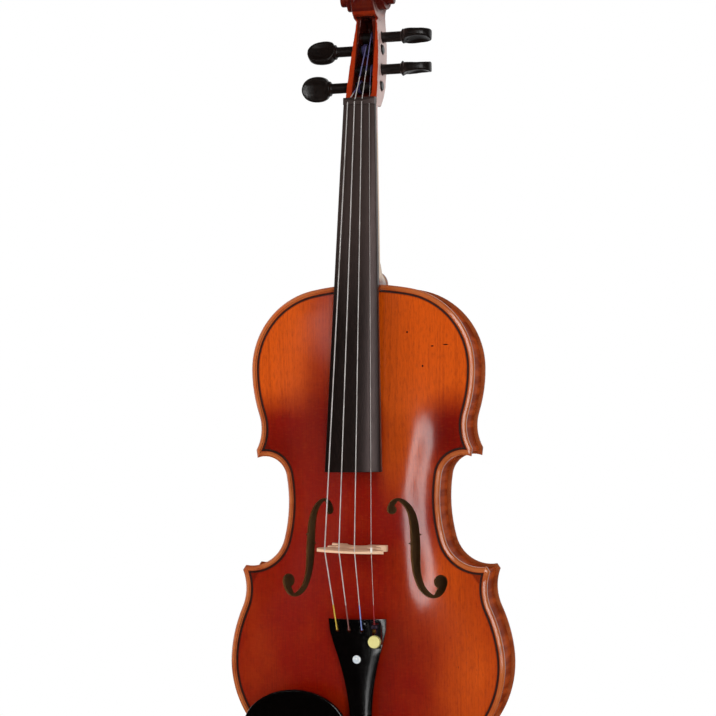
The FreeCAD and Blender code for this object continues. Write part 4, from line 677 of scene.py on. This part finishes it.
@kept
def plain_plastic(name):
    first, second, rough = {
        "sleeve": (tone(240, 236, 226), tone(206, 196, 180), 0.45),
        "gut": (tone(14, 14, 15), tone(34, 33, 34), 0.35),
    }[name]
    finish = Finish("plastic_" + name)
    x, down, front = finish.place()
    cloud = finish.noise(x * 0.9, down * 0.9, front * 0.9, 3.0)
    colour = finish.mix(first, second, cloud.rise(0.4, 0.7) * 0.6)
    return finish.done(Base_Color=colour, Roughness=cloud * 0.1 + rough)


@kept
def cork():
    finish = Finish("cork")
    x, down, front = finish.place()
    cells = finish.noise(x * 1.4, down * 1.4, front * 1.4, 4.0, 0.7)
    colour = finish.mix(tuple(fittings().cork), tone(92, 56, 34), cells.rise(0.52, 0.66))
    return finish.done(Base_Color=colour, Roughness=0.85, Normal=finish.bump(cells, 0.3, 0.6))


def clear():
    """Leaves nothing selected."""
    bpy.ops.object.select_all(action="DESELECT")


def pick(obj):
    clear()
    obj.select_set(True)
    bpy.context.view_layer.objects.active = obj


def apply(obj, kind, **settings):
    """Adds a modifier, sets it and applies it."""
    pick(obj)
    modifier = obj.modifiers.new(kind.lower(), kind)
    for key, value in settings.items():
        setattr(modifier, key, value)
    bpy.ops.object.modifier_apply(modifier=modifier.name)


def link(obj):
    bpy.context.scene.collection.objects.link(obj)
    return obj


def copy_of(node_name):
    """A merged copy of a frame node, ready to be worked on."""
    clear()
    twin = link(bpy.data.objects.new(node_name + "_dressed", nodes[node_name].data.copy()))
    pick(twin)
    bpy.ops.mesh.customdata_custom_splitnormals_clear()
    bpy.ops.object.mode_set(mode="EDIT")
    bpy.ops.mesh.select_all(action="SELECT")
    bpy.ops.mesh.remove_doubles(threshold=MERGE_DISTANCE * MM)
    bpy.ops.object.mode_set(mode="OBJECT")
    return twin


def choose(obj, test):
    """Goes to edit mode with only the faces selected that pass a test."""
    if obj.mode == "EDIT":
        bpy.ops.object.mode_set(mode="OBJECT")
    pick(obj)
    bpy.ops.object.mode_set(mode="EDIT")
    bpy.ops.mesh.select_mode(type="FACE")
    bpy.ops.mesh.select_all(action="DESELECT")
    bpy.ops.object.mode_set(mode="OBJECT")
    for face in obj.data.polygons:
        face.select = bool(test(face))
    bpy.ops.object.mode_set(mode="EDIT")


def soften(obj, degrees=CRISP):
    """Smooth shading, with edges sharper than the angle left crisp."""
    pick(obj)
    bpy.ops.object.shade_smooth_by_angle(angle=math.radians(degrees))


def measure_rim(plate, flat):
    """Writes how far each point is from the plate's outer edge, in millimetres, into "rim"."""
    points = [vertex.co for vertex in plate.data.vertices]
    fronts = [GLUE_DEPTH - point.y / MM for point in points]
    edge = []
    for face in plate.data.polygons:
        x, _, z = face.center / MM
        down = NECK_HOLD - z
        outer = any(
            abs(abs(fronts[index] - flat) - EDGE_ROUND) < WALL_MARGIN for index in face.vertices
        )
        in_hole = abs(x) < 50 and 140 < down < 245 or abs(x) < 68 and 200 < down < 245
        in_mortise = abs(x) < 16 and 0.5 < down < 60
        if abs(face.normal.y) > 0.3 or not outer or in_hole or in_mortise:
            continue
        corners = [points[index] for index in face.vertices]
        for first, second in zip(corners, corners[1:] + corners[:1]):
            steps = max(math.ceil((first - second).length / MM), 1)
            edge += [between(first, second, step / steps) for step in range(steps)]
    tree = KDTree(len(edge))
    for index, point in enumerate(edge):
        tree.insert((point.x, 0, point.z), index)
    tree.balance()
    far = [tree.find((point.x, 0, point.z))[2] / MM for point in points]
    plate.data.attributes.new("rim", "FLOAT", "POINT").data.foreach_set("value", far)


def attach(obj, material, node_name):
    """Gives a finished piece its material and body, and hides the node it stands for."""
    obj.data.materials.clear()
    obj.data.materials.append(material)
    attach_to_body(obj, body_of_node[node_name])
    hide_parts(node_name)


def paint_node(node_name, material):
    """Puts a material on a frame node that is shown as it is."""
    mesh = nodes[node_name].data
    mesh.materials.clear()
    mesh.materials.append(material)


def round_edges(obj, width, segments=2):
    """Rounds the sharp edges by a width in millimetres."""
    apply(obj, "BEVEL", width=width * MM, segments=segments, limit_method="ANGLE",
          angle_limit=math.radians(BEVEL_LIMIT))


def dress(node_name, material, width=0.0, segments=2, degrees=CRISP):
    """A copy of a frame node, its edges rounded where a width is given, in its material."""
    piece = copy_of(node_name)
    if width:
        round_edges(piece, width, segments)
    soften(piece, degrees)
    attach(piece, material, node_name)


def carve(obj, grain, rounds):
    """Turns flat facets into one even, softly rounded surface."""
    apply(obj, "REMESH", mode="VOXEL", voxel_size=grain, adaptivity=0.0)
    apply(obj, "SMOOTH", factor=0.5, iterations=rounds)
    soften(obj, 60)


def cord_through(name, points, radius):
    """Round cord through points, as a mesh."""
    clear()
    line = bpy.data.curves.new(name, "CURVE")
    line.dimensions = "3D"
    line.bevel_depth = radius
    line.bevel_resolution = 3
    line.use_fill_caps = True
    run = line.splines.new("POLY")
    run.points.add(len(points) - 1)
    for point, where in zip(run.points, points):
        point.co = (*where, 1)
    pick(link(bpy.data.objects.new(name, line)))
    bpy.ops.object.convert(target="MESH")
    cord = bpy.context.view_layer.objects.active
    soften(cord, 50)
    return cord


# Each string from its peg over nut and bridge to the tailpiece, in the frame's millimetres.
ROUTES = {
    "g": ((-3.46, -0.27, 30.24), (-8.25, -19.28, 12.83), (-17.0, -63.18, -314.0),
          (-14.5, -45.33, -368.5), (-14.5, -43.86, -372.6), (-14.5, -41.14, -372.6)),
    "d": ((-1.46, 8.89, 58.36), (-2.75, -19.98, 12.83), (-5.67, -65.61, -314.0),
          (-4.83, -47.48, -368.5), (-4.83, -46.04, -372.6), (-4.83, -43.34, -372.6)),
    "a": ((1.44, 13.66, 68.26), (2.75, -19.93, 12.83), (5.67, -64.96, -314.0),
          (4.83, -47.43, -368.5), (4.83, -45.99, -372.6), (4.83, -43.34, -372.6)),
    "e": ((3.5, 4.31, 42.58), (8.25, -19.02, 12.83), (17.0, -61.12, -314.0),
          (14.5, -46.87, -368.7)),
}
# Each peg's axis, where its string leaves it, the side the turns go to and turns left out.
PEGS = {
    "g": {"centre": (2.71, 26.98), "wrap": (-3.46, 2.39985), "side": -1, "fewer": 1},
    "d": {"centre": (12.61, 56.0), "wrap": (-1.46, 2.13608), "side": -1},
    "a": {"centre": (17.38, 66.0), "wrap": (1.44, 2.11568), "side": 1},
    "e": {"centre": (7.59, 40.0), "wrap": (3.5, 2.23587), "side": 1},
}


def route(name):
    return [Vector(point) * MM for point in ROUTES[name]]


def between(first, second, share):
    return first + (second - first) * share


class ViolinPiece:
    """What the operators share."""

    bl_options = {"REGISTER", "UNDO"}


class VIOLIN_OT_top(ViolinPiece, bpy.types.Operator):
    """Top plate with its purfling"""

    bl_idname = "violin.top"
    bl_label = "Top"

    def execute(self, context):
        plate = copy_of("top_plate")
        measure_rim(plate, 0)
        soften(plate, PLATE_CRISP)
        attach(plate, spruce_varnish(), "top_plate")
        paint_node("top_purfling", purfling())
        return {"FINISHED"}


class VIOLIN_OT_back(ViolinPiece, bpy.types.Operator):
    """Back plate and ribs"""

    bl_idname = "violin.back"
    bl_label = "Back and ribs"

    def execute(self, context):
        plate = copy_of("back_plate")
        measure_rim(plate, BACK_GLUE)
        soften(plate, PLATE_CRISP)
        attach(plate, maple_varnish("back"), "back_plate")
        paint_node("back_purfling", purfling())
        for bout in ("upper", "waist", "lower"):
            for side in ("treble", "bass"):
                dress("%s_rib_%s" % (bout, side), maple_varnish("rib"), degrees=30)
        return {"FINISHED"}


class VIOLIN_OT_inside(ViolinPiece, bpy.types.Operator):
    """Blocks, linings, bass bar and sound post"""

    bl_idname = "violin.inside"
    bl_label = "Inside"

    def execute(self, context):
        for name in ("upper_block", "lower_block", "corner_blocks", "top_linings", "back_linings",
                     "bass_bar"):
            paint_node(name, bare_wood("spruce"))
        dress("sound_post", bare_wood("spruce"), degrees=40)
        return {"FINISHED"}


class VIOLIN_OT_neck(ViolinPiece, bpy.types.Operator):
    """Neck with pegbox and scroll"""

    bl_idname = "violin.neck"
    bl_label = "Neck and scroll"

    def execute(self, context):
        neck = copy_of("neck_scroll")
        carve(neck, grain=sizes().carving_grain, rounds=6)
        attach(neck, maple_varnish("neck"), "neck_scroll")
        return {"FINISHED"}


class VIOLIN_OT_board(ViolinPiece, bpy.types.Operator):
    """Fingerboard, nut, saddle and end button"""

    bl_idname = "violin.board"
    bl_label = "Fingerboard and nut"

    def execute(self, context):
        for name, width in (("fingerboard", 0.5), ("nut", 0.25), ("saddle", 0.0),
                            ("end_button", 0.0)):
            dress(name, ebony("board" if width else "peg"), width, 3)
        return {"FINISHED"}


class VIOLIN_OT_pegs(ViolinPiece, bpy.types.Operator):
    """Four turned pegs"""

    bl_idname = "violin.pegs"
    bl_label = "Pegs"

    def execute(self, context):
        for name in STRINGS:
            peg = copy_of("peg_" + name)
            carve(peg, grain=0.4 * MM, rounds=5)
            attach(peg, ebony("peg"), "peg_" + name)
        return {"FINISHED"}


class VIOLIN_OT_strings(ViolinPiece, bpy.types.Operator):
    """Strings with their silk, turns on the pegs and balls"""

    bl_idname = "violin.strings"
    bl_label = "Strings"

    def execute(self, context):
        own = sizes()
        for name in STRINGS:
            radius = getattr(own, name + "_radius")
            line = route(name)
            cord = cord_through("string_%s_wire" % name, line, radius)
            attach(cord, wound_string(name), "string_" + name)
            head = [between(line[1], line[0], HEAD_SILK), line[0]]
            over = cord_through("silk_%s_head" % name, head, radius + own.silk_thickness)
            attach(over, silk("line"), "string_" + name)
            rest = line[3]
            start = between(rest, line[2], own.silk_length / (line[2] - rest).length)
            tail = [start, *line[3:]] if name != "e" else [start, rest]
            over = cord_through("silk_%s_tail" % name, tail, radius + own.silk_thickness)
            attach(over, silk(name), "string_" + name)
            self.wind(name, radius)
        for name in ("string_balls", "tuner_ball"):
            paint_node(name, metal("brass"))
        return {"FINISHED"}

    def wind(self, name, radius):
        """The turns of a string on its peg."""
        own = sizes()
        peg = PEGS[name]
        thick = radius + own.silk_thickness
        level, height = (value * MM for value in peg["centre"])
        first_x, first = peg["wrap"][0] * MM, peg["wrap"][1]
        pitch = 2 * thick + TURN_GAP * MM
        reach = PEG_RADIUS * MM + thick
        points = []
        for step in range(TURN_STEPS * (own.turns - peg.get("fewer", 0)) + 1):
            angle = first + 2 * math.pi * step / TURN_STEPS
            points.append(Vector((
                first_x + peg["side"] * step / TURN_STEPS * pitch,
                level - reach * math.sin(angle),
                height - reach * math.cos(angle),
            )))
        turns = cord_through("winding_%s_turns" % name, points, thick)
        # The turns take the darker copy of the head silk, as painted shade inside the pegbox.
        attach(turns, silk("head"), "winding_" + name)


class VIOLIN_OT_bridge(ViolinPiece, bpy.types.Operator):
    """Bridge with the small tube on the thinnest string"""

    bl_idname = "violin.bridge"
    bl_label = "Bridge"

    def execute(self, context):
        bridge = copy_of("bridge")
        middle = Vector((0, 0, BRIDGE_LEVEL)) * MM
        turn = Matrix.Rotation(math.radians(BRIDGE_TURN), 4, "Y")
        bridge.data.transform(Matrix.Translation(middle) @ turn @ Matrix.Translation(-middle))
        round_edges(bridge, 0.25)
        soften(bridge)
        attach(bridge, bridge_maple(), "bridge")
        dress("string_sleeve", plain_plastic("sleeve"), degrees=40)
        return {"FINISHED"}


class VIOLIN_OT_tailpiece(ViolinPiece, bpy.types.Operator):
    """Tailpiece with fret, pearl eye and tailgut"""

    bl_idname = "violin.tailpiece"
    bl_label = "Tailpiece"

    def execute(self, context):
        dress("tailpiece", ebony("tail"), 0.5, 3)
        dress("tail_fret", ebony("polished"), 0.3)
        dress("pearl_eye", pearl(), 0.2)
        dress("tailgut", plain_plastic("gut"), degrees=60)
        paint_node("tailgut_nuts", metal("brass"))
        return {"FINISHED"}


class VIOLIN_OT_tuner(ViolinPiece, bpy.types.Operator):
    """Fine tuner on the thinnest string"""

    bl_idname = "violin.tuner"
    bl_label = "Fine tuner"

    def execute(self, context):
        for name, look, width in (
            ("body", "black", 0.18),
            ("lever", "lever", 0.18),
            ("nut", "black", 0.18),
            ("pivot", "chrome", 0.0),
            ("screw", "gold", 0.0),
        ):
            dress("tuner_" + name, metal(look), width)
        self.knurl()
        return {"FINISHED"}

    def knurl(self):
        """Knurled rim and dished end of the screw's head."""
        own = sizes()
        middle = spot(*SCREW_HEAD)
        clear()
        bpy.ops.mesh.primitive_cylinder_add(
            vertices=80, radius=own.head_radius, depth=own.head_depth,
            location=middle, rotation=(math.pi / 2, 0, 0),
        )
        head = bpy.context.view_layer.objects.active
        head.name = "tuner_screw_knurl"
        bpy.ops.object.transform_apply(location=True, rotation=True)
        choose(head, lambda face: abs(face.normal.y) < 0.5 and face.index % 2)
        bpy.ops.mesh.inset(thickness=0.04 * MM, depth=-0.16 * MM, use_individual=True)
        choose(head, lambda face: face.normal.y < -0.9)
        bpy.ops.mesh.inset(thickness=0.35 * MM, depth=0.12 * MM)
        bpy.ops.mesh.inset(thickness=0.7 * MM, depth=-0.1 * MM)
        bpy.ops.object.mode_set(mode="OBJECT")
        soften(head, 30)
        attach(head, metal("gold"), "tuner_screw")


class VIOLIN_OT_chinrest(ViolinPiece, bpy.types.Operator):
    """Chinrest with cork pads and clamp"""

    bl_idname = "violin.chinrest"
    bl_label = "Chinrest"

    def execute(self, context):
        cup = copy_of("chinrest")
        carve(cup, grain=0.6 * MM, rounds=8)
        attach(cup, ebony("polished"), "chinrest")
        for name in ("chinrest_cork", "clamp_foot_cork"):
            dress(name, cork())
        for name in ("clamp_rods", "clamp_barrel_one", "clamp_barrel_two", "clamp_foot"):
            dress(name, metal("chrome"))
        return {"FINISHED"}


class VIOLIN_OT_studio(ViolinPiece, bpy.types.Operator):
    """Camera, softboxes, floor and white background"""

    bl_idname = "violin.studio"
    bl_label = "Studio"

    def execute(self, context):
        own = context.scene.violin_studio
        self.camera(own)
        for name, direction, distance, size, glossy in LAMPS:
            lamp = self.softbox(name, getattr(own, name + "_power"), direction, distance, size)
            lamp.visible_glossy = glossy
        self.surroundings(own)
        self.floor()
        context.scene.view_settings.view_transform = "Standard"
        return {"FINISHED"}

    def camera(self, own):
        data = bpy.data.cameras.new("camera")
        data.lens = own.focal_length
        data.sensor_width = 36
        camera = link(bpy.data.objects.new("camera", data))
        forward = Vector(CAMERA_FORWARD).normalized()
        right = Vector(CAMERA_RIGHT).normalized()
        up = right.cross(forward)
        turn = Matrix((right, up, -forward)).transposed().to_4x4()
        camera.matrix_world = Matrix.Translation(CAMERA_PLACE) @ turn
        bpy.context.scene.camera = camera

    def softbox(self, name, power, direction, distance, size):
        """Rectangular lamp that faces the violin from an azimuth and elevation."""
        data = bpy.data.lights.new(name, "AREA")
        data.shape = "RECTANGLE"
        data.size, data.size_y = size
        data.energy = power
        lamp = link(bpy.data.objects.new(name, data))
        turn, lift = (math.radians(value) for value in direction)
        away = Vector((math.sin(turn) * math.cos(lift), -math.cos(turn) * math.cos(lift),
                       math.sin(lift)))
        lamp.location = Vector(LAMPS_AIM) + away * distance
        lamp.rotation_euler = (-away).to_track_quat("-Z", "Y").to_euler()
        return lamp

    def surroundings(self, own):
        """White behind the violin and to the camera, dim in front of it."""
        world = bpy.data.worlds.new("studio")
        bpy.context.scene.world = world
        finish = Finish("studio", world)
        direction = finish.add("ShaderNodeTexCoord", out=0)
        back = finish.add("ShaderNodeSeparateXYZ", None, {0: direction}, out=1)
        behind = back.rise(0.05, 0.5)
        level = behind * (1 - own.ambient) + own.ambient
        seen = finish.add("ShaderNodeLightPath", out=0)
        glossy = finish.add("ShaderNodeLightPath", out=3)
        clear_through = finish.add("ShaderNodeLightPath", out=6)
        shine = back.rise(0.3, 0.95) * 0.8
        level = level * (1 - glossy) + shine * glossy
        level = level.most(seen).most(clear_through)
        shade = finish.add("ShaderNodeBackground", None, {"Color": (1, 1, 1), "Strength": level})
        finish.join(shade.socket)

    def floor(self):
        """Pale floor, white to the camera, that keeps a soft shadow."""
        clear()
        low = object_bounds()[0].z - sizes().floor_drop
        bpy.ops.mesh.primitive_plane_add(size=14, location=(0, 0, low))
        plane = bpy.context.view_layer.objects.active
        plane.name = "floor"
        bpy.ops.object.transform_apply(location=True)
        finish = Finish("floor")
        x, down, front = finish.place()
        speckle = finish.noise(x * 0.02, down * 0.02, front * 0.02, 3.0)
        colour = finish.mix((0.9, 0.9, 0.89), (0.84, 0.84, 0.83), speckle)
        matt = finish.add("ShaderNodeBsdfDiffuse", None, {"Color": colour})
        seen = finish.add("ShaderNodeLightPath", out=0)
        shine = finish.add("ShaderNodeLightPath", out=3)
        behind = 1 - front.rise(-2400, -300)
        glow = finish.add(
            "ShaderNodeEmission", None, {"Color": (1, 1, 1), "Strength": seen.most(behind * 0.8)}
        )
        away = (x * x + front * front) ** 0.5
        share = seen * (away.rise(450, 1000) * 0.3 + 0.7)
        both = finish.add("ShaderNodeMixShader", None, {0: share.most(shine), 1: matt, 2: glow})
        plane.data.materials.append(finish.join(both.socket))
        plane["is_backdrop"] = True


PIECES = (
    VIOLIN_OT_top,
    VIOLIN_OT_back,
    VIOLIN_OT_inside,
    VIOLIN_OT_neck,
    VIOLIN_OT_board,
    VIOLIN_OT_pegs,
    VIOLIN_OT_strings,
    VIOLIN_OT_bridge,
    VIOLIN_OT_tailpiece,
    VIOLIN_OT_tuner,
    VIOLIN_OT_chinrest,
    VIOLIN_OT_studio,
)


class VIOLIN_PT_panel(bpy.types.Panel):
    """Lists the pieces of the violin"""

    bl_idname = "VIOLIN_PT_panel"
    bl_label = "Violin"
    bl_space_type = "VIEW_3D"
    bl_region_type = "UI"
    bl_category = "Violin"

    def draw(self, context):
        for piece in PIECES:
            self.layout.operator(piece.bl_idname)


def register():
    for group in GROUPS:
        bpy.utils.register_class(group)
    for piece in PIECES:
        bpy.utils.register_class(piece)
    bpy.utils.register_class(VIOLIN_PT_panel)
    scene = bpy.types.Scene
    scene.violin_varnish = bpy.props.PointerProperty(type=ViolinVarnish)
    scene.violin_fittings = bpy.props.PointerProperty(type=ViolinFittings)
    scene.violin_sizes = bpy.props.PointerProperty(type=ViolinSizes)
    scene.violin_studio = bpy.props.PointerProperty(type=ViolinStudio)


def unregister():
    scene = bpy.types.Scene
    del scene.violin_varnish, scene.violin_fittings, scene.violin_sizes, scene.violin_studio
    bpy.utils.unregister_class(VIOLIN_PT_panel)
    for piece in reversed(PIECES):
        bpy.utils.unregister_class(piece)
    for group in reversed(GROUPS):
        bpy.utils.unregister_class(group)


def main():
    register()
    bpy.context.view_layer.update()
    for piece in PIECES:
        area, name = piece.bl_idname.split(".")
        getattr(getattr(bpy.ops, area), name)()


if __name__ == "__main__":
    main()
